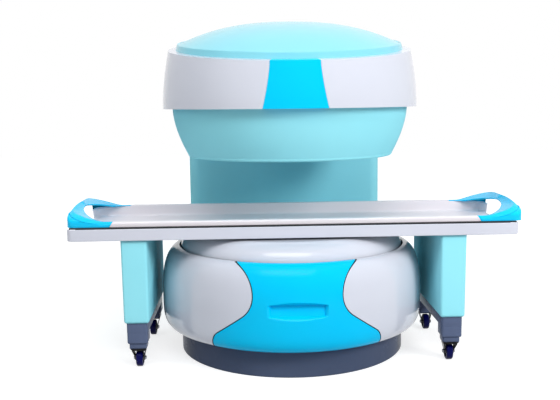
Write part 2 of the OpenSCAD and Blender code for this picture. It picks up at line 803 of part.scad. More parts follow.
// Handle: a loop round the tray's end. Its outer edge runs straight, round a corner and across
// the end; its inner edge is half an ellipse. Between them the top rises to a crest, and the
// underside lifts clear of the tray across the finger notch.
path_straight = handle_end_x - tray_corner_r - handle_x;
path_arc = tray_corner_r * PI / 2;
path_end = tray_half - tray_corner_r;
path_half = path_straight + path_arc + path_end;
function outer_edge(l) =
    l < path_straight ? [handle_x + l, -tray_half] :
    l < path_straight + path_arc ? let (a = (l - path_straight) / path_arc * 90)
        [handle_end_x - tray_corner_r + tray_corner_r * sin(a),
         -tray_half + tray_corner_r * (1 - cos(a))] :
    [handle_end_x, -path_end + l - path_straight - path_arc];
function inner_edge(l) = let (a = 90 * pow(1 - l / path_half, 1.8))
    [handle_x + (handle_end_x - grip_w - handle_x) * cos(a), -trough_half * sin(a)];
function ease(t) = let (c = min(1, max(0, t))) c * c * (3 - 2 * c);

crest_drop = 18;
grip_lift = 42;
lip_h = 4;
skirt_t = 6;
function crest(l) = rim_z + handle_rise * ease((l - 24) / (path_half * 0.58));
function drop(l) = 1 + crest_drop * ease(l / path_half * 1.6);
function base(y) = tray_z + grip_lift * ease((notch_w / 2 + 14 - abs(y)) / 50);
function under(y) = max(rim_z - handle_seat + 0.2, base(y) + lip_h);
profile = [[0, 0.35], [0.03, 0.62], [0.12, 0.84], [0.28, 0.96], [0.5, 1]];
function section(l, flip) = let (o = outer_edge(l), i = inner_edge(l), w = norm(i - o),
    foot_z = base(o.y), top = crest(l), edge = top - drop(l), f = skirt_t / w,
    y_in = o.y + 0.93 * (i.y - o.y), y_skirt = o.y + f * (i.y - o.y),
    pts = concat([[0, foot_z]], [for (p = profile) [p[0], foot_z + (top - foot_z) * p[1]]],
        [[0.75, top - 0.12 * drop(l)], [0.93, top - 0.5 * drop(l)], [1, edge],
         [0.985, (edge + under(y_in)) / 2], [0.93, under(y_in)], [f, under(y_skirt)],
         [f, base(y_skirt)]]))
    [for (p = pts) let (q = o + p[0] * (i - o)) [q.x, flip * q.y, p[1]]];
path_steps = 26;
function handle_sections() = concat(
    [for (k = [0:path_steps]) section(path_half * k / path_steps, 1)],
    [for (k = [path_steps - 1:-1:0]) section(path_half * k / path_steps, -1)]);
module loop_skin(rings) {
    m = len(rings[0]);
    n = len(rings);
    polyhedron(points = [for (r = rings) for (p = r) p],
        faces = concat([[for (j = [0:m - 1]) j]], [[for (j = [m - 1:-1:0]) (n - 1) * m + j]],
            [for (k = [0:n - 2]) for (j = [0:m - 1])
                [k * m + j, (k + 1) * m + j, (k + 1) * m + (j + 1) % m, k * m + (j + 1) % m]]),
        convexity = 8);
}
module handle_right() color(blue) at_tray() loop_skin(handle_sections());
module handle_left() color(blue) at_tray() mirror([1, 0, 0]) loop_skin(handle_sections());

// ---- castors ------------------------------------------------------------------------------------

plate_t = 5;
plate_margin = 17;
plate_len = 2 * (trail + plate_margin);
plate_z = castor_h - plate_t;
kingpin_r = 7;
head_r = 24;
head_h = 8;
head_z = plate_z - run - head_h;
module at_castor(x, y) at_table() translate([x * leg_mid, y * castor_y, 0])
    mirror([0, y > 0 ? 1 : 0, 0]) children();
module at_wheel(x, y) at_castor(x, y) translate([0, trail, wheel_r]) rotate([0, 90, 0]) children();

module castor_plates() {
    color(black) for (x = [-1, 1]) for (y = [-1, 1]) at_castor(x, y) {
        translate([0, 0, plate_z]) linear_extrude(plate_t) pad(72, plate_len, 5);
        translate([0, 0, head_z]) cylinder(r = kingpin_r, h = plate_z - head_z);
    }
}

// A fork arm, seen from the front: upright beside the hub, then spread out to the head
arm_t = 3.5;
arm_in = wheel_w / 2 + 4;
arm_spread = 9;
module arm_front() polygon([[arm_in, wheel_r - 14], [arm_in + arm_t, wheel_r - 14],
    [arm_in + arm_t, wheel_r + 12], [arm_in + arm_spread + arm_t, head_z],
    [arm_in + arm_spread + arm_t, head_z + arm_t], [arm_in + arm_spread, head_z + arm_t],
    [arm_in + arm_spread, head_z], [arm_in, wheel_r + 13]]);
module arm_side() {
    translate([trail, wheel_r]) circle(12);
    polygon([[trail - 12, wheel_r], [-head_r, head_z], [-head_r, head_z + arm_t],
        [head_r, head_z + arm_t], [trail + 12, wheel_r]]);
}
module fork(x, y) {
    color(black) at_castor(x, y) difference() {
        union() {
            translate([0, 0, head_z]) cylinder(r = head_r, h = head_h);
            translate([-arm_in - arm_spread - 1, -head_r, head_z])
                cube([2 * (arm_in + arm_spread + 1), 2 * head_r, arm_t]);
            for (s = [0, 1]) mirror([s, 0, 0]) intersection() {
                along_y(-60, 60) arm_front();
                along_x(0, 60) arm_side();
            }
        }
        translate([0, 0, head_z - 1]) cylinder(r = kingpin_r + bearing, h = head_h + 2);
        translate([-60, trail, wheel_r]) rotate([0, 90, 0]) cylinder(r = axle_r, h = 120);
    }
}

nut_h = 6;
module axle(x, y) {
    half = arm_in + arm_t;
    color(steel) at_wheel(x, y) {
        translate([0, 0, -half]) cylinder(r = axle_r, h = 2 * half);
        for (z = [-half - nut_h, half]) translate([0, 0, z])
            cylinder(r = axle_r + 3.5, h = nut_h, $fn = 6);
    }
}

hub_half = wheel_w / 2 + 2;
module wheel_core(x, y) {
    color([0.45, 0.46, 0.5]) at_wheel(x, y) spin([[axle_r + bearing, -hub_half],
        [axle_r + 6, -hub_half], [axle_r + 7, -hub_half + 6], [core_r - 6, -6],
        [core_r - 4, -wheel_w / 2 + 3], [core_r, -wheel_w / 2 + 3], [core_r, wheel_w / 2 - 3],
        [core_r - 4, wheel_w / 2 - 3], [core_r - 6, 6], [axle_r + 7, hub_half - 6],
        [axle_r + 6, hub_half], [axle_r + bearing, hub_half]]);
}

tyre_round = 8;
module wheel_tyre(x, y) {
    z = wheel_w / 2 - tyre_round;
    r = wheel_r - tyre_round;
    color(navy) at_wheel(x, y) spin(concat([[core_r, wheel_w / 2], [core_r, -wheel_w / 2]],
        [for (a = [-90:15:0]) [r + tyre_round * cos(a), -z + tyre_round * sin(a)]],
        [for (a = [0:15:90]) [r + tyre_round * cos(a), z + tyre_round * sin(a)]]));
}

foot_plate();
base_frame();
lower_yoke();
yoke_post();
upper_yoke();
yoke_bolts();
lower_magnet();
upper_magnet();
lower_pole_plate();
upper_pole_plate();
lower_shim_ring();
upper_shim_ring();
lower_gradient_coil();
upper_gradient_coil();
lower_radio_coil();
upper_radio_coil();
plinth_cover();
drum_cover_left();
drum_cover_right();
pole_cover();
column_cover();
rear_panel();
bowl_cover();
crown_cover_left();
crown_cover_right();
crown_plate();
dome_cover();
panel_sockets();
drum_front_panel();
panel_pins();
table_frame();
table_apron();
slide_rails();
leg_cover_left();
leg_cover_right();
leg_posts();
foot_left();
foot_right();
castor_plates();
carriage();
slide_shoes();
tray_shell();
handle_left();
handle_right();
fork(-1, -1);  // castor_fork_fl
axle(-1, -1);  // castor_axle_fl
wheel_core(-1, -1);  // wheel_core_fl
wheel_tyre(-1, -1);  // wheel_tyre_fl
fork(1, -1);  // castor_fork_fr
axle(1, -1);  // castor_axle_fr
wheel_core(1, -1);  // wheel_core_fr
wheel_tyre(1, -1);  // wheel_tyre_fr
fork(-1, 1);  // castor_fork_rl
axle(-1, 1);  // castor_axle_rl
wheel_core(-1, 1);  // wheel_core_rl
wheel_tyre(-1, 1);  // wheel_tyre_rl
fork(1, 1);  // castor_fork_rr
axle(1, 1);  // castor_axle_rr
wheel_core(1, 1);  // wheel_core_rr
wheel_tyre(1, 1);  // wheel_tyre_rr
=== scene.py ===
import json
import math

import bmesh
import bpy
import numpy as np
from mathutils import Matrix, Vector


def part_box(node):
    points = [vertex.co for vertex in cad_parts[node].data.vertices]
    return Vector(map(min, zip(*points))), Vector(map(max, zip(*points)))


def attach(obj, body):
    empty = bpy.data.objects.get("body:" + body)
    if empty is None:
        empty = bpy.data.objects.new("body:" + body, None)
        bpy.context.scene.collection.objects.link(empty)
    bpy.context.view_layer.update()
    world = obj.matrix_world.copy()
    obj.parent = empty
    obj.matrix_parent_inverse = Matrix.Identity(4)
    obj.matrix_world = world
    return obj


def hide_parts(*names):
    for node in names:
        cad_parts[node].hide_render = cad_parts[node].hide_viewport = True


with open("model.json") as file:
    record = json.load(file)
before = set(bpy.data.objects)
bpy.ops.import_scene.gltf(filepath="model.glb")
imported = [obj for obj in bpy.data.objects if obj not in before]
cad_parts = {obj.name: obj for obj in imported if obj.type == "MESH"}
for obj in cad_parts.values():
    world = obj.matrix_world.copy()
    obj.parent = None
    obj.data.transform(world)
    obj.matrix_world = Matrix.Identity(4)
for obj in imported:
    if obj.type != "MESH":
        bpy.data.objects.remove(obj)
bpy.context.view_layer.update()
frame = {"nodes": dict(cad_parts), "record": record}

# Open magnet scanner for animals: round lower and upper housings on a rear column, and a table on
# castors with a sliding stretcher tray. Shapes are worked out in millimetres, in the frame's own
# directions, and surface() turns them into metres. +Z is up, -Y is the front.

MM = 0.001


def size_of(node):
    """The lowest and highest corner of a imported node, in millimetres."""
    low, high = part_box(node)
    return np.array(low) / MM, np.array(high) / MM


# ---- camera ----------------------------------------------

FRAME_W = 560
FOCAL_PX = 790.7
SENSOR_W = 36.0
CAMERA_AT = Vector((-0.1774, -3.9615, 1.2320))
CAMERA_YAW = math.radians(-1.802)
CAMERA_DOWN = math.radians(7.176)
CAMERA_ROLL = math.radians(0.685)
CAMERA_REACH = 60


def make_camera():
    """A level look along the yaw, tipped down and rolled, written as the camera's three axes."""
    ahead = Vector((-math.sin(CAMERA_YAW) * math.cos(CAMERA_DOWN),
                    math.cos(CAMERA_YAW) * math.cos(CAMERA_DOWN),
                    -math.sin(CAMERA_DOWN)))
    right = Vector((math.cos(CAMERA_YAW), math.sin(CAMERA_YAW), 0))
    up = right.cross(ahead)
    side = right * math.cos(CAMERA_ROLL) - up * math.sin(CAMERA_ROLL)
    top = right * math.sin(CAMERA_ROLL) + up * math.cos(CAMERA_ROLL)
    lens = bpy.data.cameras.new("camera")
    lens.sensor_width = SENSOR_W
    lens.lens = FOCAL_PX / FRAME_W * SENSOR_W
    lens.clip_end = CAMERA_REACH
    camera = bpy.data.objects.new("camera", lens)
    bpy.context.collection.objects.link(camera)
    turn = Matrix((side, top, -ahead)).transposed().to_4x4()
    camera.matrix_world = Matrix.Translation(CAMERA_AT) @ turn
    bpy.context.scene.camera = camera


# ---- shader node groups and materials --------------------

COLOUR, FLOAT, VECTOR = "NodeSocketColor", "NodeSocketFloat", "NodeSocketVector"


def new_group(name, inputs, outputs):
    """An empty node group with named inputs (name, kind, default) and outputs (name, kind)."""
    group = bpy.data.node_groups.new(name, "ShaderNodeTree")
    for label, kind, default in inputs:
        socket = group.interface.new_socket(label, in_out="INPUT", socket_type=kind)
        socket.default_value = default
    for label, kind in outputs:
        group.interface.new_socket(label, in_out="OUTPUT", socket_type=kind)
    return group, group.nodes.new("NodeGroupInput"), group.nodes.new("NodeGroupOutput")


def set_inputs(node, values):
    """Gives the node's named inputs these values."""
    for label, value in values.items():
        node.inputs[label].default_value = value


def feed(tree, end, socket):
    """Gives a socket a number, a colour, or what another node puts out."""
    if isinstance(end, (int, float, tuple)):
        socket.default_value = end
    else:
        tree.links.new(end, socket)


def noise(tree, scale, detail, rough=0.5, stretch=None):
    """A noise over the object's own coordinates, stretched along an axis if asked."""
    place = tree.nodes.new("ShaderNodeTexCoord")
    node = tree.nodes.new("ShaderNodeTexNoise")
    set_inputs(node, {"Detail": detail, "Roughness": rough, "Scale": scale})
    start = place.outputs["Object"]
    if stretch:
        mapping = tree.nodes.new("ShaderNodeMapping")
        set_inputs(mapping, {"Scale": stretch})
        tree.links.new(start, mapping.inputs["Vector"])
        start = mapping.outputs["Vector"]
    tree.links.new(start, node.inputs["Vector"])
    return node.outputs["Fac"]


def ranged(tree, value, low, high, from_low=0.3, from_high=0.7):
    """value, mapped from one range to another; the ends may be sockets or numbers."""
    node = tree.nodes.new("ShaderNodeMapRange")
    tree.links.new(value, node.inputs["Value"])
    for label, end in (("From Min", from_low), ("From Max", from_high),
                       ("To Min", low), ("To Max", high)):
        feed(tree, end, node.inputs[label])
    return node.outputs["Result"]


def math_node(tree, kind, a, b):
    """a and b put together by one Math node; each is a socket or a number."""
    node = tree.nodes.new("ShaderNodeMath")
    node.operation = kind
    for socket, end in zip(node.inputs, (a, b)):
        feed(tree, end, socket)
    return node.outputs[0]


def mixed(tree, mask, a, b):
    """Colour a turned towards colour b by the mask."""
    node = tree.nodes.new("ShaderNodeMix")
    node.data_type = "RGBA"
    mask_socket, a_socket, b_socket = node.inputs[0], node.inputs[6], node.inputs[7]
    for end, socket in ((mask, mask_socket), (a, a_socket), (b, b_socket)):
        feed(tree, end, socket)
    return node.outputs[2]


SKIN_OUTPUTS = [("Colour", COLOUR), ("Roughness", FLOAT), ("Normal", VECTOR)]

# How many times a metre each pattern repeats, and how deep its bumps are in metres
MOTTLE_SCALE, WIPE_SCALE, PEEL_SCALE, SPECK_SCALE, STREAK_SCALE = 2.3, 9.0, 240.0, 26.0, 60.0
PEEL_DEPTH, STREAK_DEPTH = 0.0004, 0.0002


def gelcoat_group():
    """Moulded gelcoat: slow colour mottle, a faint orange peel, and polish that varies."""
    group, inside, out = new_group("moulded_gelcoat", [
        ("Colour", COLOUR, (0.8, 0.8, 0.8, 1)),
        ("Deep", COLOUR, (0.7, 0.7, 0.75, 1)),
        ("Mottle", FLOAT, 0.5), ("Peel", FLOAT, 0.05),
        ("Polish", FLOAT, 0.2), ("Haze", FLOAT, 0.3)], SKIN_OUTPUTS)
    slow = noise(group, MOTTLE_SCALE, 3.0)
    mask = math_node(group, "MULTIPLY", ranged(group, slow, 0.0, 1.0), inside.outputs["Mottle"])
    colour = mixed(group, mask, inside.outputs["Colour"], inside.outputs["Deep"])
    group.links.new(colour, out.inputs["Colour"])
    wiped = noise(group, WIPE_SCALE, 4.0, 0.6)
    group.links.new(ranged(group, wiped, inside.outputs["Polish"], inside.outputs["Haze"]),
                    out.inputs["Roughness"])
    peel = noise(group, PEEL_SCALE, 1.0)
    bump = group.nodes.new("ShaderNodeBump")
    set_inputs(bump, {"Distance": PEEL_DEPTH})
    group.links.new(inside.outputs["Peel"], bump.inputs["Strength"])
    group.links.new(peel, bump.inputs["Height"])
    group.links.new(bump.outputs["Normal"], out.inputs["Normal"])
    return group


def settled_dust_group():
    """Dust and scuffs: a mask that grows on faces that look up and near the floor."""
    group, inside, out = new_group("settled_dust", [
        ("Amount", FLOAT, 0.1), ("Floor Height", FLOAT, 0.25)], [("Mask", FLOAT)])
    shape = group.nodes.new("ShaderNodeNewGeometry")
    split = group.nodes.new("ShaderNodeSeparateXYZ")
    group.links.new(shape.outputs["Normal"], split.inputs[0])
    up = ranged(group, split.outputs["Z"], 0.0, 1.0, 0.6, 1.0)
    place = group.nodes.new("ShaderNodeTexCoord")
    height = group.nodes.new("ShaderNodeSeparateXYZ")
    group.links.new(place.outputs["Object"], height.inputs[0])
    low = ranged(group, height.outputs["Z"], 1.0, 0.0, 0.0, inside.outputs["Floor Height"])
    both = math_node(group, "MAXIMUM", up, low)
    speck = ranged(group, noise(group, SPECK_SCALE, 5.0, 0.7), 0.0, 1.0, 0.35, 0.75)
    mask = math_node(group, "MULTIPLY", math_node(group, "MULTIPLY", both, speck),
                     inside.outputs["Amount"])
    group.links.new(mask, out.inputs["Mask"])
    return group


def brushed_group():
    """Drawn or brushed metal: long fine streaks along X in tone, polish and height."""
    group, inside, out = new_group("brushed_streaks", [
        ("Colour", COLOUR, (0.6, 0.6, 0.6, 1)),
        ("Deep", COLOUR, (0.4, 0.4, 0.4, 1)),
        ("Streaks", FLOAT, 0.3), ("Polish", FLOAT, 0.25), ("Haze", FLOAT, 0.45)], SKIN_OUTPUTS)
    streak = noise(group, STREAK_SCALE, 4.0, 0.6, (0.05, 1.0, 1.0))
    mask = math_node(group, "MULTIPLY", ranged(group, streak, 0.0, 1.0), inside.outputs["Streaks"])
    colour = mixed(group, mask, inside.outputs["Colour"], inside.outputs["Deep"])
    group.links.new(colour, out.inputs["Colour"])
    group.links.new(ranged(group, streak, inside.outputs["Polish"], inside.outputs["Haze"]),
                    out.inputs["Roughness"])
    bump = group.nodes.new("ShaderNodeBump")
    set_inputs(bump, {"Distance": STREAK_DEPTH, "Strength": 0.25})
    group.links.new(streak, bump.inputs["Height"])
    group.links.new(bump.outputs["Normal"], out.inputs["Normal"])
    return group


def new_material(name):
    """A material with only its Principled shader, and its node tree."""
    material = bpy.data.materials.new(name)
    material.use_nodes = True
    return material, material.node_tree, material.node_tree.nodes["Principled BSDF"]


def set_group(tree, group, values):
    """A node of the group with these input values."""
    node = tree.nodes.new("ShaderNodeGroup")
    node.node_tree = group
    set_inputs(node, values)
    return node


def linear(r, g, b):
    """An sRGB colour of 0 to 255 as linear light, with full alpha."""
    def one(v):
        v = v / 255
        return v / 12.92 if v <= 0.04045 else ((v + 0.055) / 1.055) ** 2.4
    return (one(r), one(g), one(b), 1.0)


DUST = (0.42, 0.41, 0.39, 1.0)
COAT_ROUGHNESS = 0.06


def moulded(name, colour, deep, mottle=0.5, peel=0.12, polish=0.16, haze=0.26, dust=0.1,
            floor_height=0.2, coat=0.4, specular=0.5):
    """A moulded, polished cover: gelcoat colour, faint dust, and a clear coat."""
    material, tree, shader = new_material(name)
    skin = set_group(tree, GELCOAT, {"Colour": colour, "Deep": deep, "Mottle": mottle,
                                     "Peel": peel, "Polish": polish, "Haze": haze})
    film = set_group(tree, SETTLED_DUST, {"Amount": dust, "Floor Height": floor_height})
    tree.links.new(mixed(tree, film.outputs["Mask"], skin.outputs["Colour"], DUST),
                   shader.inputs["Base Color"])
    tree.links.new(math_node(tree, "ADD", skin.outputs["Roughness"], film.outputs["Mask"]),
                   shader.inputs["Roughness"])
    tree.links.new(skin.outputs["Normal"], shader.inputs["Normal"])
    set_inputs(shader, {"Coat Weight": coat, "Coat Roughness": COAT_ROUGHNESS,
                        "Specular IOR Level": specular})
    return material


def metal(name, colour, deep, metallic=1.0):
    """A drawn, anodised or painted metal part with fine streaks."""
    material, tree, shader = new_material(name)
    skin = set_group(tree, BRUSHED, {"Colour": colour, "Deep": deep, "Streaks": 0.4,
                                     "Polish": 0.25, "Haze": 0.45})
    for label, socket in (("Colour", "Base Color"), ("Roughness", "Roughness"),
                          ("Normal", "Normal")):
        tree.links.new(skin.outputs[label], shader.inputs[socket])
    set_inputs(shader, {"Metallic": metallic})
    return material


GELCOAT = gelcoat_group()
SETTLED_DUST = settled_dust_group()
BRUSHED = brushed_group()

# Each look's main colour, the colour of its mottle or streaks, and what departs from plain
MOULDED_LOOKS = {
    "white_cover": ((214, 217, 228), (201, 204, 217),
        dict(dust=0.02, polish=0.12, haze=0.2, coat=0.25, specular=0.4)),
    "blue_cover": ((0, 205, 255), (0, 195, 250),
        dict(peel=0.08, dust=0.0, coat=0.06, specular=0.05)),
    "turquoise_cover": ((160, 240, 252), (148, 231, 245),
        dict(dust=0.0, coat=0.04, specular=0.0, polish=0.3, haze=0.4)),
    "aqua_cover": ((136, 212, 226), (124, 204, 220),
        dict(dust=0.0, polish=0.16, coat=0.2, specular=0.2)),
    "slate_cover": ((84, 95, 120), (68, 78, 102),
        dict(dust=0.0, haze=0.34, floor_height=0.08, coat=0.03, specular=0.03)),
    "apron_paint": ((212, 214, 226), (200, 202, 215), dict(dust=0.02, coat=0.25)),
    "tray_white": ((232, 226, 231), (227, 222, 227),
        dict(mottle=0.25, dust=0.0, polish=0.3, haze=0.36, coat=0.15, specular=0.3)),
    "handle_blue": ((0, 206, 255), (0, 194, 250),
        dict(peel=0.06, dust=0.0, coat=0.2, specular=0.1)),
    "foot_slate": ((98, 110, 139), (82, 93, 121),
        dict(haze=0.34, dust=0.0, coat=0.02, specular=0.03)),
    "castor_black": ((6, 7, 12), (3, 4, 8),
        dict(dust=0.0, haze=0.4, coat=0.05, specular=0.15)),
    "wheel_tyre": ((4, 8, 84), (2, 4, 50),
        dict(dust=0.0, peel=0.3, haze=0.4, coat=0.03, specular=0.08)),
    "wheel_core": ((30, 32, 44), (20, 22, 32), dict(specular=0.2)),
    "coil_resin": ((196, 128, 84), (168, 104, 66), {}),
    "radio_coil": ((222, 222, 214), (200, 200, 192), {}),
    # socket_rubber also goes on the covers' cut edges, as painted shade in the seams' gaps
    "socket_rubber": ((26, 26, 28), (18, 18, 20), dict(coat=0.0)),
    "shoe_plastic": ((220, 220, 214), (200, 200, 194), {}),
}
METAL_LOOKS = {
    "slide_black": ((34, 35, 40), (22, 23, 27), dict(metallic=0.3)),
    "castor_steel": ((150, 152, 158), (112, 114, 120), {}),
    "steel": ((170, 172, 176), (130, 132, 138), {}),
    "shim_steel": ((170, 172, 176), (130, 132, 138), {}),
    "frame_aluminium": ((196, 198, 202), (160, 162, 168), {}),
    "yoke_iron": ((112, 116, 122), (88, 92, 98), dict(metallic=0.3)),
    "base_steel": ((98, 100, 106), (74, 76, 82), dict(metallic=0.5)),
    "ferrite": ((72, 74, 82), (52, 54, 60), dict(metallic=0.1)),
}
LOOKS = {name: make(name, linear(*colour), linear(*deep), **finish)
         for make, looks in ((moulded, MOULDED_LOOKS), (metal, METAL_LOOKS))
         for name, (colour, deep, finish) in looks.items()}

SLOTS = {part["node"]: part["material_slot"] for part in frame["record"]["subparts"]}
BODY_OF = {node: name for name, held in frame["record"]["behaviour"]["bodies"].items()
           for node in held}


# ---- making surfaces -------------------------------------

MERGE_AT, THIN_EDGE = 2e-5, 1e-6


def surface(name, grids, node, wall=None, bevel=0.0, centre=None, keep=None, others=(), steps=3,
            angle=35.0, painted_seam_shade=False):
    """One piece from grids of points in millimetres, each of rows by columns by three. Faces join
    neighbours on a grid, apart from those that its mask in keep leaves out, points that meet are
    merged, and faces are turned away from centre, or outwards on a closed skin. The wall grows
    inwards and the bevel rounds what is sharper than the angle. Where asked, the wall's cut edge
    takes the dark rubber look, which is painted shade for the dark gap to the next piece."""
    points, faces, start = [], [], 0
    for k, grid in enumerate(grids):
        rows, cols = grid.shape[:2]
        index = np.arange(rows * cols).reshape(rows, cols) + start
        quads = np.stack([index[:-1, :-1], index[1:, :-1], index[1:, 1:], index[:-1, 1:]], -1)
        kept = keep[k] if keep and keep[k] is not None else np.ones(quads.shape[:2], bool)
        faces.append(quads[kept])
        points.append(grid.reshape(-1, 3))
        start += rows * cols
    mesh = bpy.data.meshes.new(name)
    mesh.from_pydata((np.concatenate(points) * MM).tolist(), [], np.concatenate(faces).tolist())
    work = bmesh.new()
    work.from_mesh(mesh)
    bmesh.ops.remove_doubles(work, verts=work.verts, dist=MERGE_AT)
    bmesh.ops.dissolve_degenerate(work, edges=work.edges, dist=THIN_EDGE)
    bmesh.ops.recalc_face_normals(work, faces=work.faces)
    if centre is not None:
        middle = Vector(centre) * MM
        outward = sum(f.normal.dot(f.calc_center_median() - middle) * f.calc_area()
                      for f in work.faces)
        if outward < 0:
            bmesh.ops.reverse_faces(work, faces=work.faces)
    work.to_mesh(mesh)
    work.free()
    mesh.polygons.foreach_set("use_smooth", np.ones(len(mesh.polygons), bool))
    piece = bpy.data.objects.new(name, mesh)
    bpy.context.collection.objects.link(piece)
    if wall:
        solid = piece.modifiers.new("wall", "SOLIDIFY")
        solid.thickness = wall * MM
        solid.offset = -1
        solid.use_even_offset = False
        solid.use_quality_normals = True
    if bevel:
        edge = piece.modifiers.new("edges", "BEVEL")
        edge.width = bevel * MM
        edge.segments = steps
        edge.limit_method = "ANGLE"
        edge.angle_limit = math.radians(angle)
        edge.harden_normals = True
    mesh.materials.append(LOOKS[SLOTS[node]])
    # The cut edge takes the dark rubber look: painted shade for the gap to the next piece
    if painted_seam_shade:
        mesh.materials.append(LOOKS["socket_rubber"])
        solid.material_offset_rim = 1
    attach(piece, BODY_OF[node])
    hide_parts(node, *others)


def arc(start, end, count):
    """Angles in radians from start to end, both in degrees."""
    return np.radians(np.linspace(start, end, count))


def power(value, exponent):
    """A power that keeps the sign of its base."""
    return np.sign(value) * np.abs(value) ** exponent


def spaced(profile, count):
    """The profile's points, spread evenly along its length."""
    steps = np.r_[0, np.cumsum(np.hypot(*np.diff(profile, axis=0).T))]
    at = np.linspace(0, steps[-1], count)
    return np.stack([np.interp(at, steps, profile[:, 0]), np.interp(at, steps, profile[:, 1])], 1)


def disc(radius, z):
    """The profile of a flat disc at height z, from inside its edge to the middle."""
    return np.stack([np.linspace(radius, 0, 24)[1:], np.full(23, z)], 1)


def turned(profile, start, end, count):
    """A profile of radius and height turned about Z. Angles are from the front towards +X, and each
    end is one angle or an angle for each point of the profile."""
    share = np.linspace(0, 1, count)[None, :]
    start = np.broadcast_to(start, len(profile))[:, None]
    end = np.broadcast_to(end, len(profile))[:, None]
    angle = start + (end - start) * share
    radius, height = profile[:, :1], profile[:, 1:] + 0 * angle
    return np.stack([radius * np.sin(angle), -radius * np.cos(angle), height], axis=-1)


def back_angle(radius, plane):
    """The angle from the front at which a circle of that radius meets the plane behind."""
    return math.pi - np.arccos(np.minimum(1, plane / np.maximum(radius, 1e-6)))


# ---- sizes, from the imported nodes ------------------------

SIDES = ((-1, "left"), (1, "right"))
SEAM, PANEL_SEAM = 2.0, 4.0
WALL = 5.0
PLINTH_R = size_of("plinth_cover")[1][0]
DRUM_Z, DRUM_TOP = (corner[2] for corner in size_of("drum_cover_left"))
DRUM_R = -size_of("drum_front_panel")[0][1]
POLE_TOP = size_of("pole_cover")[1][2]
POLE_R = -size_of("pole_cover")[0][1]
BACK = size_of("column_cover")[0][1] - SEAM
NECK_HALF = 221.0  # half the gap in the drum's and the plinth's wall, where they meet the column
BOWL_Z, CROWN_Z = (corner[2] for corner in size_of("bowl_cover"))
BOWL_TOP_R = size_of("bowl_cover")[1][0]
CROWN_R = -size_of("crown_plate")[0][1]
CROWN_TOP = 1487.0
CROWN_H = CROWN_TOP - CROWN_Z
TILT = math.radians(8.25)

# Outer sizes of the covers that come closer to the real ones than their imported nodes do
COLUMN_X, COLUMN_HALF, COLUMN_CORNER = -7.0, 546.0, 60.0
TABLE_HALF = 1033.0
LEG_IN, LEG_OUT, LEG_LEAN, LEG_LOW = 675.0, 790.0, 4.0, 220.0
FOOT_IN, FOOT_OUT, FOOT_LOW = 685.0, 780.0, 93.0
TRAY_X, HANDLE_X, HANDLE_END = 9.0, 843.0, 1043.0


# ---- lower housing ---------------------------------------

DRUM_WIDE_Z = DRUM_Z + 172
DRUM_FOOT_IN, DRUM_TOP_IN = 110, DRUM_R - POLE_R - 8
DRUM_FOOT_POWER, DRUM_TOP_POWER = 2 / 4.4, 2 / 2.3


def drum_profile(count=150):
    """Two quarter superellipses that meet at the widest radius: R = a + b cos^p t and
    z = c -+ d sin^p t, with one power below and one above."""
    low, high = arc(90, 0, 200), arc(0, 90, 200)
    below = np.stack([
        DRUM_R - DRUM_FOOT_IN + DRUM_FOOT_IN * power(np.cos(low), DRUM_FOOT_POWER),
        DRUM_WIDE_Z - (DRUM_WIDE_Z - DRUM_Z) * power(np.sin(low), DRUM_FOOT_POWER)], 1)
    above = np.stack([
        DRUM_R - DRUM_TOP_IN + DRUM_TOP_IN * power(np.cos(high), DRUM_TOP_POWER),
        DRUM_WIDE_Z + (DRUM_TOP - DRUM_WIDE_Z) * power(np.sin(high), DRUM_TOP_POWER)], 1)
    return spaced(np.concatenate([below, above[1:]]), count)


# The front panel's side line: a lobe, a straight line and the lower corner, each in x and z
LOBE_R, FOOT_R = 122, 60
LOBE = np.array([195 + LOBE_R, DRUM_Z + 262])
FOOT = np.array([376 - FOOT_R, DRUM_Z + FOOT_R * 0.6])
FOOT_TURN_COS, FOOT_TURN_SIN = 0.5, 0.866  # the lower corner ends after 60 degrees
LOBE_TOP, LOBE_STRETCH, TOP_CORNER = math.radians(112), 1.22, 12.0
UPPER_SIDE = drum_profile(600)[400:]
TOP_EDGE_Z = UPPER_SIDE[:, 1]
TO_TOP_EDGE = np.r_[np.cumsum(np.hypot(*np.diff(UPPER_SIDE, axis=0).T)[::-1])[::-1], 0]


def panel_half_width(z, grow=0.0):
    """Half the front panel's width at height z: round the side lobe, which is stretched upwards and
    ends upright, along the line that touches both arcs, and round the lower corner. The upper
    corner is rounded by the length left to the top edge. It grows sideways by grow."""
    gap = LOBE - FOOT
    touch = math.atan2(gap[1], gap[0]) - math.acos((LOBE_R + FOOT_R) / math.hypot(*gap))
    normal = np.array([math.cos(touch), math.sin(touch)])
    lobe, foot = LOBE_R - grow, FOOT_R + grow
    line_top, line_low = LOBE - lobe * normal, FOOT + foot * normal
    above = (z - LOBE[1]) / np.where(z > LOBE[1], LOBE_STRETCH, 1)
    round_lobe = LOBE[0] - np.sqrt(np.maximum(lobe ** 2 - above ** 2, 0))
    run, climb = line_top - line_low
    straight = line_low[0] + (z - line_low[1]) * run / climb
    round_foot = FOOT[0] + np.sqrt(np.maximum(foot ** 2 - (z - FOOT[1]) ** 2, 0))
    width = np.where(z > line_top[1], round_lobe, np.where(z > line_low[1], straight, round_foot))
    upright = LOBE[0] + lobe * math.cos(LOBE_TOP)
    width = np.where(above > lobe * math.sin(LOBE_TOP), upright, width)
    left = np.interp(z, TOP_EDGE_Z, TO_TOP_EDGE)
    into_corner = np.maximum(TOP_CORNER - left, 0)
    width = width - TOP_CORNER + np.sqrt(np.maximum(TOP_CORNER ** 2 - into_corner ** 2, 0))
    corner_end = FOOT[0] + foot * FOOT_TURN_COS
    return np.where(z < FOOT[1] - foot * FOOT_TURN_SIN, corner_end, width)


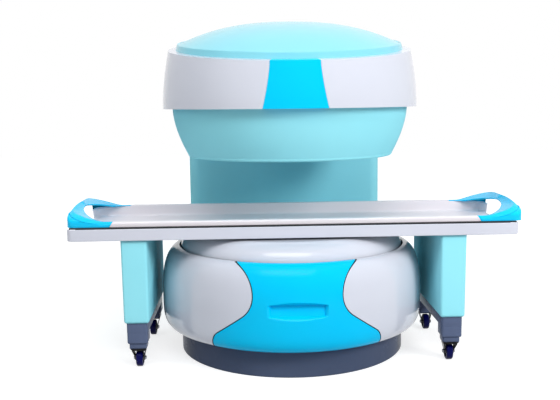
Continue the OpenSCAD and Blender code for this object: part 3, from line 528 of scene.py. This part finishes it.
def drum_covers():
    """The lower housing's two side covers: the drum's profile turned from the panel's edge back to
    the column."""
    profile = drum_profile()
    radius, height = profile.T
    edge = np.arcsin(np.minimum(panel_half_width(height, PANEL_SEAM) / radius, 1))
    rear = np.minimum(back_angle(radius, BACK), math.pi - np.arcsin(NECK_HALF / radius))
    for side, word in SIDES:
        cover = turned(profile, side * edge, side * rear, 180)
        # Their cut edges are painted shade for the seams and for the dark line under the pole cover
        surface(f"drum_side_{word}", [cover], f"drum_cover_{word}", wall=WALL, bevel=1.0,
                centre=(side * 200, 0, DRUM_WIDE_Z), painted_seam_shade=True)


# The pull recess: its middle, outline and bed, the shares of the outline at which the bed starts,
# along and across, and how deep the bed lies
PULL_Z = DRUM_Z + 158 + 40.5
PULL_HALF, PULL_END_H, PULL_BOW = 133.0, 26.5, 14.0
BED_HALF, BED_LOW, BED_HIGH = 119.0, 302.0, 349.0
BED_A, BED_B = 0.9, 0.6
PULL_DEEP, PULL_SLOPE = 29.0, math.tan(math.radians(14))


def stops(outer, slant, bed, start):
    """A parameter from -2 to 2: even steps from -2 to -1, from there to -start, across the bed, and
    the same on the other side."""
    rising = np.concatenate([np.linspace(1, start, slant)[::-1][1:], np.linspace(1, 2, outer)[1:]])
    return np.concatenate([-rising[::-1], np.linspace(-start, start, bed), rising])


def front_panel():
    """The front panel: the drum's profile turned between the panel's edges, with the pull recess
    pressed in. The grid's lines follow the recess's outline, a flat oblong whose long sides bow out
    by a parabola, and inside it they are blended over to an oblong bed. The surface goes in from
    the outline to the bed in a straight slant, and the bed is a plane that deepens towards its
    top."""
    profile = drum_profile(400)
    length = np.r_[0, np.cumsum(np.hypot(*np.diff(profile, axis=0).T))]
    side_z = profile[:, 1] > DRUM_Z + 40
    at_z = lambda z: np.interp(z, profile[side_z, 1], length[side_z])
    # a and b run from -1 to 1 inside the recess and on to 2 at the panel's edges
    a = stops(46, 8, 83, BED_A)[None, :]
    b = stops(80, 9, 24, BED_B)[:, None]
    near = np.minimum(np.abs(a), 1) * PULL_HALF
    bow = PULL_END_H + PULL_BOW * (1 - (near / PULL_HALF) ** 2)
    low, high = at_z(PULL_Z - bow), at_z(PULL_Z + bow)
    middle, spread = (low + high) / 2, (high - low) / 2
    along = np.where(b < -1, (b + 2) * low,
                     np.where(b > 1, high + (b - 1) * (length[-1] - high), middle + b * spread))
    radius, height = (np.interp(along, length, profile[:, k]) for k in (0, 1))
    half = panel_half_width(height)
    x = np.sign(a) * (near + np.maximum(np.abs(a) - 1, 0) * (half - PULL_HALF))
    y = -np.sqrt(np.maximum(radius ** 2 - x ** 2, 0))
    slant = np.clip(np.minimum((1 - np.abs(a)) / (1 - BED_A), (1 - np.abs(b)) / (1 - BED_B)), 0, 1)
    bed_x = BED_HALF * np.clip(a / BED_A, -1, 1)
    bed_z = (BED_LOW + BED_HIGH) / 2 + (BED_HIGH - BED_LOW) / 2 * np.clip(b / BED_B, -1, 1)
    bed_y = -DRUM_R + PULL_DEEP + (bed_z - PULL_Z) * PULL_SLOPE + 0 * a
    x, height = x + slant * (bed_x - x), height + slant * (bed_z - height)
    y = y + slant * (bed_y - y)
    # Its cut edges are painted shade for the seams beside it
    surface("drum_panel", [np.stack([x, y, height], -1)], "drum_front_panel", wall=4.0, bevel=1.0,
            centre=(0, 0, DRUM_WIDE_Z), painted_seam_shade=True)


def pole_cover():
    """The flat-topped cover over the lower pole: a quarter ellipse and a flat disc, turned."""
    shoulder, foot = 96, DRUM_TOP - 6
    t = arc(0, 90, 40)
    curve = np.stack([POLE_R - shoulder + shoulder * np.cos(t),
                      foot + (POLE_TOP - foot) * np.sin(t)], 1)
    flat = disc(POLE_R - shoulder, POLE_TOP)
    grid = turned(np.concatenate([curve, flat]), -math.pi, math.pi, 240)
    surface("pole_lid", [grid], "pole_cover", wall=WALL, bevel=1.0, centre=(0, 0, foot - 200))


def plinth():
    """The round plinth's skirt, rounded at the floor, open behind where the foot goes through."""
    edge, round_r = arc(-90, 0, 8), 5
    low = np.stack([PLINTH_R - round_r + round_r * np.cos(edge),
                    round_r + round_r * np.sin(edge)], 1)
    wall = np.stack([np.full(12, PLINTH_R), np.linspace(round_r, DRUM_Z - SEAM, 12)], 1)[1:]
    rear = math.pi - math.asin(NECK_HALF / PLINTH_R)
    grid = turned(np.concatenate([low, wall]), -rear, rear, 260)
    surface("plinth_skirt", [grid], "plinth_cover", wall=WALL, bevel=0.8, centre=(0, 0, 60))


# ---- upper housing ---------------------------------------

def bowl():
    """The bowl: its radius falls with the 1.7th power of the depth, then a rounded edge and a flat
    base."""
    edge_r, foot_r = 12, 494
    depth, draw_in = CROWN_Z - BOWL_Z - edge_r, BOWL_TOP_R - foot_r - edge_r
    t = np.linspace(0, 1, 60)
    side = np.stack([BOWL_TOP_R - draw_in * t ** 1.7, CROWN_Z - t * depth], 1)
    a = arc(0, -90, 10)[1:]
    edge = np.stack([foot_r + edge_r * np.cos(a), BOWL_Z + edge_r + edge_r * np.sin(a)], 1)
    profile = np.concatenate([side, edge, disc(foot_r, BOWL_Z)])
    rear = back_angle(profile[:, 0], BACK)
    surface("bowl_shell", [turned(profile, -rear, rear, 300)], "bowl_cover", wall=WALL, bevel=1.0,
            centre=(0, 0, CROWN_Z))


CROWN_STRAIGHT, CROWN_DRAFT = 28, 34


def crown_radius(rise):
    """The crown's radius at a height above its foot: upright, then drawn in by the 1.6th power."""
    above = np.maximum(rise - CROWN_STRAIGHT, 0) / (CROWN_H - CROWN_STRAIGHT)
    return CROWN_R - CROWN_DRAFT * above ** 1.6


PLATE_TOP_HALF, PLATE_FOOT_HALF, PLATE_BEND = 107, 141, 0.72


def plate_half_width(rise, grow=0.0):
    """Half the front plate's width: wide at the foot, drawn in by the 1.5th power of the height up
    to PLATE_BEND of the crown, and upright above."""
    t = np.clip(rise / (CROWN_H * PLATE_BEND), 0, 1)
    return PLATE_TOP_HALF + (PLATE_FOOT_HALF - PLATE_TOP_HALF) * (1 - t) ** 1.5 + grow


LEDGE_LOW_IN, LEDGE_HIGH_IN = 4, 60


def crown_grid(start, end, count):
    """The crown from its lower ledge, up the wall and in along the sloping upper ledge. start and
    end give the angle from the height and radius. Where the wall meets the slope is solved by
    repeating z = top - R cos(angle) tan(tilt)."""
    rows = np.concatenate([np.zeros(3), np.linspace(0, 1, 60), np.ones(5)])
    ledge_low = np.concatenate([np.linspace(1, 0.08, 3), np.zeros(65)])
    ledge_high = np.concatenate([np.zeros(63), np.linspace(0.1, 1, 5)])
    share = np.linspace(0, 1, count)[None, :]
    rise = rows[:, None] * CROWN_H * (0.9 + 0 * share)
    for _ in range(12):
        radius = crown_radius(rise)
        angle = start(rise, radius) + (end(rise, radius) - start(rise, radius)) * share
        top = CROWN_H - radius * np.cos(angle) * math.tan(TILT)
        rise = rows[:, None] * top
    radius = crown_radius(rise)
    radius = radius - ledge_low[:, None] * (radius - BOWL_TOP_R + LEDGE_LOW_IN)
    radius = radius - ledge_high[:, None] * LEDGE_HIGH_IN
    z = np.where(ledge_high[:, None] > 0, CROWN_TOP - radius * np.cos(angle) * math.tan(TILT),
                 CROWN_Z + rise)
    return np.stack([radius * np.sin(angle), -radius * np.cos(angle), z], -1)


def crown():
    """The crown's two covers and the plate between them at the front: each edge is the angle at
    which a circle of that radius has the plate's half width to one side."""
    plate = lambda rise, radius: np.arcsin(plate_half_width(rise) / radius)
    beside = lambda rise, radius: np.arcsin(plate_half_width(rise, SEAM / 2) / radius)
    rear = lambda rise, radius: back_angle(radius, BACK)
    for side, word in SIDES:
        grid = crown_grid(beside, rear, 170)
        grid[..., 0] *= side
        surface(f"crown_{word}", [grid], f"crown_cover_{word}", wall=WALL, bevel=2.2, steps=4,
                centre=(side * 150, 0, CROWN_Z + 120))
    grid = crown_grid(lambda rise, radius: -plate(rise, radius), plate, 60)
    surface("crown_front", [grid], "crown_plate", wall=WALL, bevel=2.2, steps=4,
            centre=(0, 0, CROWN_Z + 120))


def dome():
    """The dome on the crown's slope: an upright rim with a moulded lip, and a cap whose height
    falls as the 2.5th power of the radius."""
    foot_r, rim, rise = 555, 28, 98
    side = np.stack([np.linspace(foot_r, foot_r - 7, 8), np.linspace(0, rim - 3, 8)], 1)
    lip = np.array([foot_r, rim]) + [(-8.5, 0), (-12, 1), (-15.5, -0.5), (-17.5, -2.5)]
    cap_r, cap_low = foot_r - 20, 2
    q = np.linspace(1, 0, 90)
    cap = np.stack([cap_r * q, rim - cap_low + (rise + cap_low) * (1 - q ** 2.5)], 1)
    grid = turned(np.concatenate([side, lip, cap]), -math.pi, math.pi, 300)
    slope = np.array(Matrix.Rotation(TILT, 3, "X"))
    grid = grid @ slope.T + np.array([0, 0, CROWN_TOP])
    surface("dome_lid", [grid], "dome_cover", wall=WALL, bevel=1.5, centre=(0, 0, CROWN_TOP - 200))


# ---- column ----------------------------------------------

def loop(x_half, y_low, y_high, low_r, high_r, corner, x_extra, y_extra):
    """A closed rounded rectangle, anticlockwise from the middle of its +X side: at each corner
    x = half - r + r cos t and y = end - r + r sin t, with one radius towards -Y and one towards
    +Y. Extra points keep lines where the straight sides need them."""
    t = arc(0, 90, corner)
    low_in, low_out = low_r - low_r * np.cos(t), low_r - low_r * np.sin(t)
    high_in, high_out = high_r - high_r * np.cos(t), high_r - high_r * np.sin(t)
    ring = np.concatenate([np.array(part, float).reshape(-1, 2) for part in (
        [(x_half, y) for y in sorted(y_extra)],
        np.stack([x_half - high_in, y_high - high_out], 1),
        [(x, y_high) for x in sorted(x_extra, reverse=True)],
        np.stack([high_out - x_half, y_high - high_in], 1),
        [(-x_half, y) for y in sorted(y_extra, reverse=True)],
        np.stack([low_in - x_half, y_low + low_out], 1),
        [(x, y_low) for x in sorted(x_extra)],
        np.stack([x_half - low_out, y_low + low_in], 1))])
    return np.concatenate([ring, ring[:1]])


def stacked(rings, heights):
    """Rings of plan points, one above the other, as one grid."""
    return np.stack([np.column_stack([r, np.full(len(r), z)]) for r, z in zip(rings, heights)])


def cell_middles(grid):
    """The middle of each face of a grid."""
    return (grid[:-1, :-1] + grid[1:, 1:]) / 2


CAP_SHARES = (0.9, 0.5, 0.0)


def boxed(x_mid, x_half, y_low, y_high, z_low, z_high, corner_r, low_r, high_r, corner, middle,
          corner_back=None, x_extra=(), y_extra=()):
    """A rounded box: plan rings that draw in along a quarter circle at the foot and at the top,
    where a radius is given, inset = r (1 - cos t) and z = end - r + r sin t, and close to a point
    in the middle there."""
    back = corner_r if corner_back is None else corner_back
    centre = np.array([0, (y_low + y_high) / 2])
    rings, heights = [], []

    def add(inset, z, scale=1.0):
        ring = loop(x_half - inset, y_low + inset, y_high - inset, max(corner_r - inset, 0.5),
                    max(back - inset, 0.5), corner, x_extra, y_extra)
        rings.append((ring - centre) * scale + centre + np.array([x_mid, 0]))
        heights.append(z)

    if low_r:
        for scale in CAP_SHARES[::-1]:
            add(low_r, z_low, scale)
        for t in arc(-90, 0, 8):
            add(low_r * (1 - math.cos(t)), z_low + low_r * (1 + math.sin(t)))
    for z in np.linspace(z_low + low_r, z_high - high_r, middle):
        add(0, z)
    if high_r:
        for t in arc(0, 90, 8)[1:]:
            add(high_r * (1 - math.cos(t)), z_high - high_r + high_r * math.sin(t))
        for scale in CAP_SHARES:
            add(high_r, z_high, scale)
    return stacked(rings, heights)


def column():
    """The column's cover: a rounded box with a rounded top, open behind for the service panel."""
    low, high = size_of("column_cover")
    panel_low, panel_high = size_of("rear_panel")
    gap, y_mid = panel_high[0] + SEAM, (low[1] + high[1]) / 2
    grid = boxed(COLUMN_X, COLUMN_HALF, low[1], high[1], 0, high[2], COLUMN_CORNER, low_r=0,
                 high_r=22, corner=14, middle=80, corner_back=40,
                 x_extra=(-gap - COLUMN_X, 0.0, gap - COLUMN_X), y_extra=(y_mid,))
    mid = cell_middles(grid)
    opening = ((mid[..., 1] > high[1] - 1) & (np.abs(mid[..., 0]) < gap)
               & (mid[..., 2] > panel_low[2] - SEAM) & (mid[..., 2] < panel_high[2] + SEAM))
    surface("column_shell", [grid], "column_cover", wall=WALL, bevel=1.2, keep=[~opening],
            centre=(0, y_mid, high[2] / 2))


# ---- table -----------------------------------------------

APRON_LOW, APRON_HIGH = size_of("table_apron")
TABLE_Y = (APRON_LOW[1] + APRON_HIGH[1]) / 2


def apron():
    """The painted apron: a rounded rectangle in plan, with a rolled upper and lower edge, cut low
    at both ends for the tray."""
    low, high = APRON_LOW, APRON_HIGH
    roll, corner_r, sill, gap_half = 3.0, 28, low[2] + 6, 301.0
    turns = np.concatenate([arc(-90, 0, 6), arc(0, 90, 6)])
    inset = roll * (1 - np.cos(turns))
    heights = np.where(np.arange(12) < 6, low[2] + roll, high[2] - roll) + roll * np.sin(turns)
    rings = [loop(TABLE_HALF - i, low[1] + i, high[1] - i, corner_r, corner_r, 10,
                  x_extra=(-900.0, 0.0, 900.0), y_extra=(TABLE_Y - gap_half, TABLE_Y + gap_half))
             for i in inset]
    rings.insert(6, rings[5])
    heights = np.insert(heights, 6, sill)
    grid = stacked(rings, heights)
    mid = cell_middles(grid)
    gap = (np.abs(mid[..., 1] - TABLE_Y) < gap_half) & (np.abs(mid[..., 0]) > TABLE_HALF - 8) \
        & (mid[..., 2] > sill)
    surface("apron_skirt", [grid], "table_apron", wall=3.0, bevel=0.8, keep=[~gap],
            centre=(0, TABLE_Y, (low[2] + high[2]) / 2))


def leg_covers():
    """Moulded leg covers: rounded boxes, open at the top under the table. The outer side leans out
    towards the top, so x grows with the share of the width and of the height."""
    for side, word in SIDES:
        low, high = size_of(f"leg_cover_{word}")
        x_mid, half = side * (LEG_IN + LEG_OUT) / 2, (LEG_OUT - LEG_IN) / 2
        grid = boxed(x_mid, half, low[1], high[1], LEG_LOW, high[2], 12, low_r=12, high_r=0,
                     corner=9, middle=20)
        grid[..., 0] += side * LEG_LEAN * (side * grid[..., 0] - LEG_IN) / (2 * half) \
            * (grid[..., 2] - LEG_LOW) / (high[2] - LEG_LOW)
        surface(f"leg_shell_{word}", [grid], f"leg_cover_{word}", wall=4.0,
                centre=(x_mid, TABLE_Y, 420))


def feet():
    """The feet: an end block at the front and rear under a beam, and a smaller step under each, all
    rounded boxes that run a little into one another."""
    block, block_in, step_in, step_h, beam_low = 92, 0.4, 8, 28, LEG_LOW - 50
    rounded = {"corner_r": 9, "high_r": 3, "corner": 7}
    for side, word in SIDES:
        y_front, y_rear = (corner[1] for corner in size_of(f"foot_{word}"))
        x_mid, half = side * (FOOT_IN + FOOT_OUT) / 2, (FOOT_OUT - FOOT_IN) / 2
        grids = [boxed(x_mid, half, y_front, y_rear, beam_low, LEG_LOW, low_r=5, middle=3,
                       **rounded)]
        for y_low, y_high in ((y_front, y_front + block), (y_rear - block, y_rear)):
            grids.append(boxed(x_mid, half - block_in, y_low + block_in, y_high,
                               FOOT_LOW + step_h, beam_low + 8, low_r=7, middle=4, **rounded))
            grids.append(boxed(x_mid, half - step_in, y_low + step_in, y_high - step_in, FOOT_LOW,
                               FOOT_LOW + step_h + 6, low_r=5, middle=3, **rounded))
        surface(f"foot_casting_{word}", grids, f"foot_{word}")


# ---- tray and handles ------------------------------------

TRAY_LOW, TRAY_HIGH = size_of("tray_shell")
TRAY_HALF = (TRAY_HIGH[1] - TRAY_LOW[1]) / 2
RIM_Z = TRAY_HIGH[2]
RIM_W = 39
TROUGH_HALF = TRAY_HALF - RIM_W
FLOOR_Z = TRAY_LOW[2] + 4
HANDLE_LOW = size_of("handle_right")[0][2]
NOTCH_HALF = 150
GRIP_W = 26
JOINT_SLANT, JOINT_MID, JOINT_GAP = 0.6, 12.0, 0.8


def trough():
    """The tray: a trough with steep walls, a small fillet to its floor and a notch in each end, and
    along each side a rim that folds over and down. Under the handles the rim steps down, and the
    folded sides end on a slant, x = end + slant (top - z)."""
    end = HANDLE_END - GRIP_W - 2
    fillet, corner, lip_r, step_down = 12.0, 60.0, 3, 4.6
    extra_x = (-HANDLE_X - 0.5, -HANDLE_X + 0.5, -500.0, 0.0, 500.0, HANDLE_X - 0.5, HANDLE_X + 0.5)
    lip, turn = arc(90, 180, 7), arc(0, 90, 8)[1:]
    share = np.linspace(0.12, 1, 8)
    outs = np.concatenate([[5, 4.5], lip_r * (1 + np.cos(lip)) - 2, -2 - 3 * share,
                           -5 - fillet * (1 - np.cos(turn))])
    heights = np.concatenate([[RIM_Z - lip_r, RIM_Z - 0.6], RIM_Z - lip_r + lip_r * np.sin(lip),
                              RIM_Z - lip_r - share * (RIM_Z - FLOOR_Z - lip_r - fillet),
                              FLOOR_Z + fillet * (1 - np.sin(turn))])
    rings = [loop(end + out, -TROUGH_HALF - out, TROUGH_HALF + out, corner + out, corner + out, 12,
                  extra_x, (-NOTCH_HALF, NOTCH_HALF)) for out in outs]
    grid = stacked(rings, heights)
    lowered = (np.abs(grid[..., 0]) > HANDLE_X) & (grid[..., 2] > RIM_Z - 6)
    grid[..., 2] -= np.where(lowered, step_down, 0)
    last, middle = grid[-1], np.array([0, 0, FLOOR_Z])
    floor = np.stack([last * (1 - s) + middle * s for s in (0, 0.04, 0.5, 1.0)])
    mid = cell_middles(grid)
    notch = (np.abs(mid[..., 1]) < NOTCH_HALF) & (np.abs(mid[..., 0]) > end - 40) \
        & (mid[..., 2] > FLOOR_Z + 5)
    fold, t = 10.0, arc(90, 180, 8)
    folded = np.stack([TRAY_HALF - fold - fold * np.cos(t), RIM_Z - fold + fold * np.sin(t)], 1)
    rim = np.concatenate([[(TROUGH_HALF + 4.5, RIM_Z - 0.4), (TROUGH_HALF + 6, RIM_Z)], folded,
                          [(TRAY_HALF, HANDLE_LOW + 5), (TRAY_HALF, HANDLE_LOW + 0.3)]])
    along = np.linspace(-1, 1, 60)[None, :]
    reach = HANDLE_X - JOINT_GAP + JOINT_SLANT * (RIM_Z - JOINT_MID - rim[:, 1:2])
    sides = [np.stack([along * reach, side * (rim[:, :1] + 0 * along), rim[:, 1:] + 0 * along], -1)
             for side in (-1, 1)]
    grids = [g + np.array([TRAY_X, TABLE_Y, 0]) for g in [grid, floor] + sides]
    surface("tray_trough", grids, "tray_shell", wall=2.5, bevel=0.8, angle=50,
            keep=[~notch, None, None, None], centre=(TRAY_X, TABLE_Y, -2000))


def ease(t):
    """A smooth step: t squared times three minus two t, held between 0 and 1."""
    t = np.clip(t, 0, 1)
    return t * t * (3 - 2 * t)


# The crest's and the foot's corners seen from above, and how far the crest stands in
CREST_R, CREST_INSET, FOOT_CORNER_R = 96.0, 1.5, 28.0
# The crest's rise, where it starts and over what length, how far in it lies, and the roll's arc
CREST_RISE, RISE_FROM, RISE_OVER, CREST_IN, ROLL_TURN = 64.0, 35, 165, 24.0, 1.2
# The foot's lift over the hand hole; how far the crease and the inner edge lie below the crest, at
# the joint and what the end adds; and the edge's thickness
LIFT, LIFT_END, LIFT_EASE = 48, 286, 24
CREASE_FALL, CREASE_MORE, EDGE_FALL, EDGE_MORE, EDGE_THICK = 10, 5, 2, 20, 7
# The skirt's lean towards the crest by its height, the small step at its foot and the bead
LEAN_UP, LEAN_IN = [0, 0.62, 0.76, 0.87, 0.94, 1], [0, 0, 0.03, 0.14, 0.36, 0.7]
STEP_UP, STEP_IN, BEAD_AT, BEAD_H = 8, 1.2, 8, 1.6
# The finger grooves' heights, half width, depth and end
GROOVES, GROOVE_HALF, GROOVE_DEEP, GROOVE_END = (720, 731, 742), 2.2, 1.5, 188


def handle_outline(near, radius, inset):
    """Half a handle's outline seen from above, by the length along the crest's path: straight,
    round the corner of that radius by x = a + r sin t and y = b - r cos t, and across the end."""
    straight, bend = HANDLE_END - CREST_R - HANDLE_X, CREST_R * math.pi / 2
    first = np.clip(near / straight, 0, 1)
    turn = np.clip((near - straight) / bend, 0, 1) * math.pi / 2
    last = np.clip((near - straight - bend) / (TRAY_HALF - CREST_R), 0, 1)
    side, corner_x = TRAY_HALF - inset, HANDLE_END - inset - radius
    return np.stack([HANDLE_X + first * (corner_x - HANDLE_X) + radius * np.sin(turn),
                     -side + radius * (1 - np.cos(turn)) + last * (side - radius)], -1)


def handles():
    """Looped handles round the tray's ends. The skirt's foot follows a tight corner and its crest a
    wide one, so each point is foot + share (crest outline - foot), and the skirt bulges at the
    corner. The top rises from the joint by z = rim + rise (1 - exp(-((length - from) / over)^1.6)).
    A roll leads up to the crest, and a ribbon falls from it to a half-ellipse edge, with a bead
    just before it. Three finger grooves run along the grip, and over the hand hole the foot lifts
    clear."""
    half = HANDLE_END - CREST_R - HANDLE_X + CREST_R * math.pi / 2 + TRAY_HALF - CREST_R
    path = np.linspace(0, 2 * half, 241)[:, None]
    near = np.minimum(path, 2 * half - path)
    foot = handle_outline(near[:, 0], FOOT_CORNER_R, 0)[:, None, :]
    crest = handle_outline(near[:, 0], CREST_R, CREST_INSET)[:, None, :]
    angle = math.pi / 2 * (1 - near / half) ** 1.8
    edge = np.stack([HANDLE_X + (HANDLE_END - GRIP_W - HANDLE_X) * np.cos(angle),
                     -TROUGH_HALF * np.sin(angle)], -1)
    gap = np.linalg.norm(edge - crest, axis=-1)
    inward = (edge - foot) / np.linalg.norm(edge - foot, axis=-1)[..., None]
    base = HANDLE_LOW + LIFT * ease((LIFT_END - np.abs(foot[..., 1])) / LIFT_EASE)
    rising = 1 - np.exp(-(np.maximum(0, near - RISE_FROM) / RISE_OVER) ** 1.6)
    top = RIM_Z + CREST_RISE * rising
    crease = top - CREASE_FALL - CREASE_MORE * rising
    inner = top - EDGE_FALL - EDGE_MORE * ease(near / half * 1.6)
    under = np.maximum(RIM_Z - 4, inner - EDGE_THICK)
    # the skirt, from its foot to the crease
    up = np.linspace(0, 1, 34)[None, :]
    skirt_z = base + up * (crease - base)
    step = ease((skirt_z - base - STEP_UP) / 2)[..., None] * inward
    skirt = (foot + np.interp(up, LEAN_UP, LEAN_IN)[..., None] * (crest - foot)
             + STEP_IN * step * rising[..., None])
    # the outer roll up to the crest, and the ribbon from there in to the inner edge
    start = foot + LEAN_IN[-1] * (crest - foot)
    crest_share = np.minimum(0.5, CREST_IN / gap)
    at = np.linspace(0, 1, 14)[None, :]
    ribbon = np.linspace(0, 1, 22)[None, 1:]
    share = np.concatenate([crest_share * at, crest_share + ribbon * (1 - crest_share) * 0.985], 1)
    drops = np.concatenate([(top - crease) * (1 - np.sin(at * ROLL_TURN) / math.sin(ROLL_TURN)),
                            (top - inner) * ribbon], 1)
    bead = np.exp(-((1 - share) * gap - BEAD_AT) ** 2 / 6) * rising * BEAD_H
    from_line = np.clip(share / crest_share, 0, 1)[..., None]
    roll = start + from_line * (crest - start) + share[..., None] * (edge - crest)
    roll_z = top - drops + bead
    # the inner edge, the underside and the skirt's inner face
    skirt_in = foot + 6 * inward
    low_in = foot + 0.95 * (edge - foot)
    last = foot + 0.985 * (edge - foot)
    plan = np.concatenate([skirt, roll, last, low_in, skirt_in, skirt_in, foot], 1)
    z = np.concatenate([skirt_z, roll_z, (inner + under) / 2, under, under + 2, base, base], 1)
    # finger grooves on the outer face of the grip, pressed in towards the inner edge
    depth = sum(np.exp(-((z - level) / GROOVE_HALF) ** 2) for level in GROOVES) \
        * ease((GROOVE_END - np.abs(plan[..., 1])) / 24) * (np.arange(plan.shape[1]) < 40)[None, :]
    plan[..., 0] -= GROOVE_DEEP * depth * ease((near - 200) / 60)
    plan[..., 0] += JOINT_SLANT * (RIM_Z - JOINT_MID - z) * (1 - ease(near / 40))
    plan[..., 1] *= np.where(path <= half, 1.0, -1.0)
    grid = np.concatenate([plan, z[..., None]], -1)
    ends = [np.stack([grid[k], np.broadcast_to(grid[k].mean(0), grid[k].shape)]) for k in (0, -1)]
    for side, word in SIDES:
        placed = [g * np.array([side, 1, 1]) + np.array([TRAY_X, TABLE_Y, 0])
                  for g in [grid] + ends]
        surface(f"handle_loop_{word}", placed, f"handle_{word}")


# ---- the rest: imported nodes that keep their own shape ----

def dress_nodes():
    """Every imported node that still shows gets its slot's material."""
    for node, part in frame["nodes"].items():
        part.data.materials.clear()
        part.data.materials.append(LOOKS[SLOTS[node]])


# ---- floor, world and lamps ------------------------------

def seen_directly(tree):
    """1 for rays from the camera and for those that a polished or clear surface sends on, or 0."""
    path = tree.nodes.new("ShaderNodeLightPath")
    shown = math_node(tree, "MAXIMUM", path.outputs["Is Camera Ray"], path.outputs["Is Glossy Ray"])
    return math_node(tree, "MAXIMUM", shown, path.outputs["Is Transmission Ray"])


FLOOR_REACH, FLOOR_ALBEDO = 14.0, 0.5
# The floor's glow where it is seen, near the object and far off, and those two distances
GLOW_NEAR, GLOW_FAR, GLOW_FROM, GLOW_TO = 0.74, 1.0, 1.6, 4.5
SKY, SKY_STRENGTH = (0.9, 0.95, 1.0, 1), 0.26
WHITE = (1, 1, 1, 1)
# name, place, what it looks at, width, depth and watts
LAMPS = [("key_right", (3.6, -3.6, 3.0), (0, 0, 0.8), 1.8, 1.8, 160),
         ("front_soft", (-0.4, -3.4, 4.6), (0, -0.2, 0.8), 3.6, 2.2, 118),
         ("left_fill", (-4.6, -2.4, 3.4), (0, 0, 0.8), 2.4, 2.0, 40),
         ("top_soft", (0, 0.4, 4.8), (0, 0, 0.8), 4.6, 3.6, 64)]
GLOSSY_LAMP = "front_soft"


def make_floor():
    """A flat white floor that keeps the shadow and fades to the white surround."""
    mesh = bpy.data.meshes.new("floor")
    corners = np.array([(-1, -1, 0), (1, -1, 0), (1, 1, 0), (-1, 1, 0)]) * FLOOR_REACH
    mesh.from_pydata(corners.tolist(), [], [(0, 1, 2, 3)])
    floor = bpy.data.objects.new("floor", mesh)
    bpy.context.collection.objects.link(floor)
    material, tree, shader = new_material("floor_white")
    set_inputs(shader, {"Base Color": (FLOOR_ALBEDO, FLOOR_ALBEDO, FLOOR_ALBEDO, 1),
                        "Roughness": 0.9, "Specular IOR Level": 0.0, "Emission Color": WHITE})
    place = tree.nodes.new("ShaderNodeTexCoord")
    away = tree.nodes.new("ShaderNodeVectorMath")
    away.operation = "LENGTH"
    tree.links.new(place.outputs["Object"], away.inputs[0])
    glow = ranged(tree, away.outputs["Value"], GLOW_NEAR, GLOW_FAR, GLOW_FROM, GLOW_TO)
    tree.links.new(math_node(tree, "MULTIPLY", seen_directly(tree), glow),
                   shader.inputs["Emission Strength"])
    mesh.materials.append(material)


def surround():
    """The world: a weak cool sky for the light, and plain white where it is seen."""
    world = bpy.data.worlds.new("world")
    bpy.context.scene.world = world
    world.use_nodes = True
    tree = world.node_tree
    sky, plain = tree.nodes["Background"], tree.nodes.new("ShaderNodeBackground")
    for node, colour, strength in ((sky, SKY, SKY_STRENGTH), (plain, WHITE, 1.0)):
        set_inputs(node, {"Color": colour, "Strength": strength})
    mix = tree.nodes.new("ShaderNodeMixShader")
    for socket, end in zip(mix.inputs, (seen_directly(tree), sky.outputs[0], plain.outputs[0])):
        tree.links.new(end, socket)
    tree.links.new(mix.outputs[0], tree.nodes["World Output"].inputs["Surface"])


def lamps():
    """Soft lamps: a key from the right, a wide one above the front, a weak fill from the left and a
    top light. Only GLOSSY_LAMP shows as a highlight."""
    for name, at, target, width, depth, watts in LAMPS:
        light = bpy.data.lights.new(name, "AREA")
        light.shape = "RECTANGLE"
        light.size, light.size_y, light.energy = width, depth, watts
        lamp = bpy.data.objects.new(name, light)
        lamp.visible_glossy = name == GLOSSY_LAMP
        lamp.location = at
        lamp.rotation_euler = (Vector(target) - Vector(at)).to_track_quat("-Z", "Y").to_euler()
        bpy.context.collection.objects.link(lamp)


bpy.context.scene.view_settings.view_transform = "Standard"
for make in (make_camera, dress_nodes, drum_covers, front_panel, pole_cover, plinth, bowl, crown,
             dome, column, apron, leg_covers, feet, trough, handles, make_floor, surround, lamps):
    make()
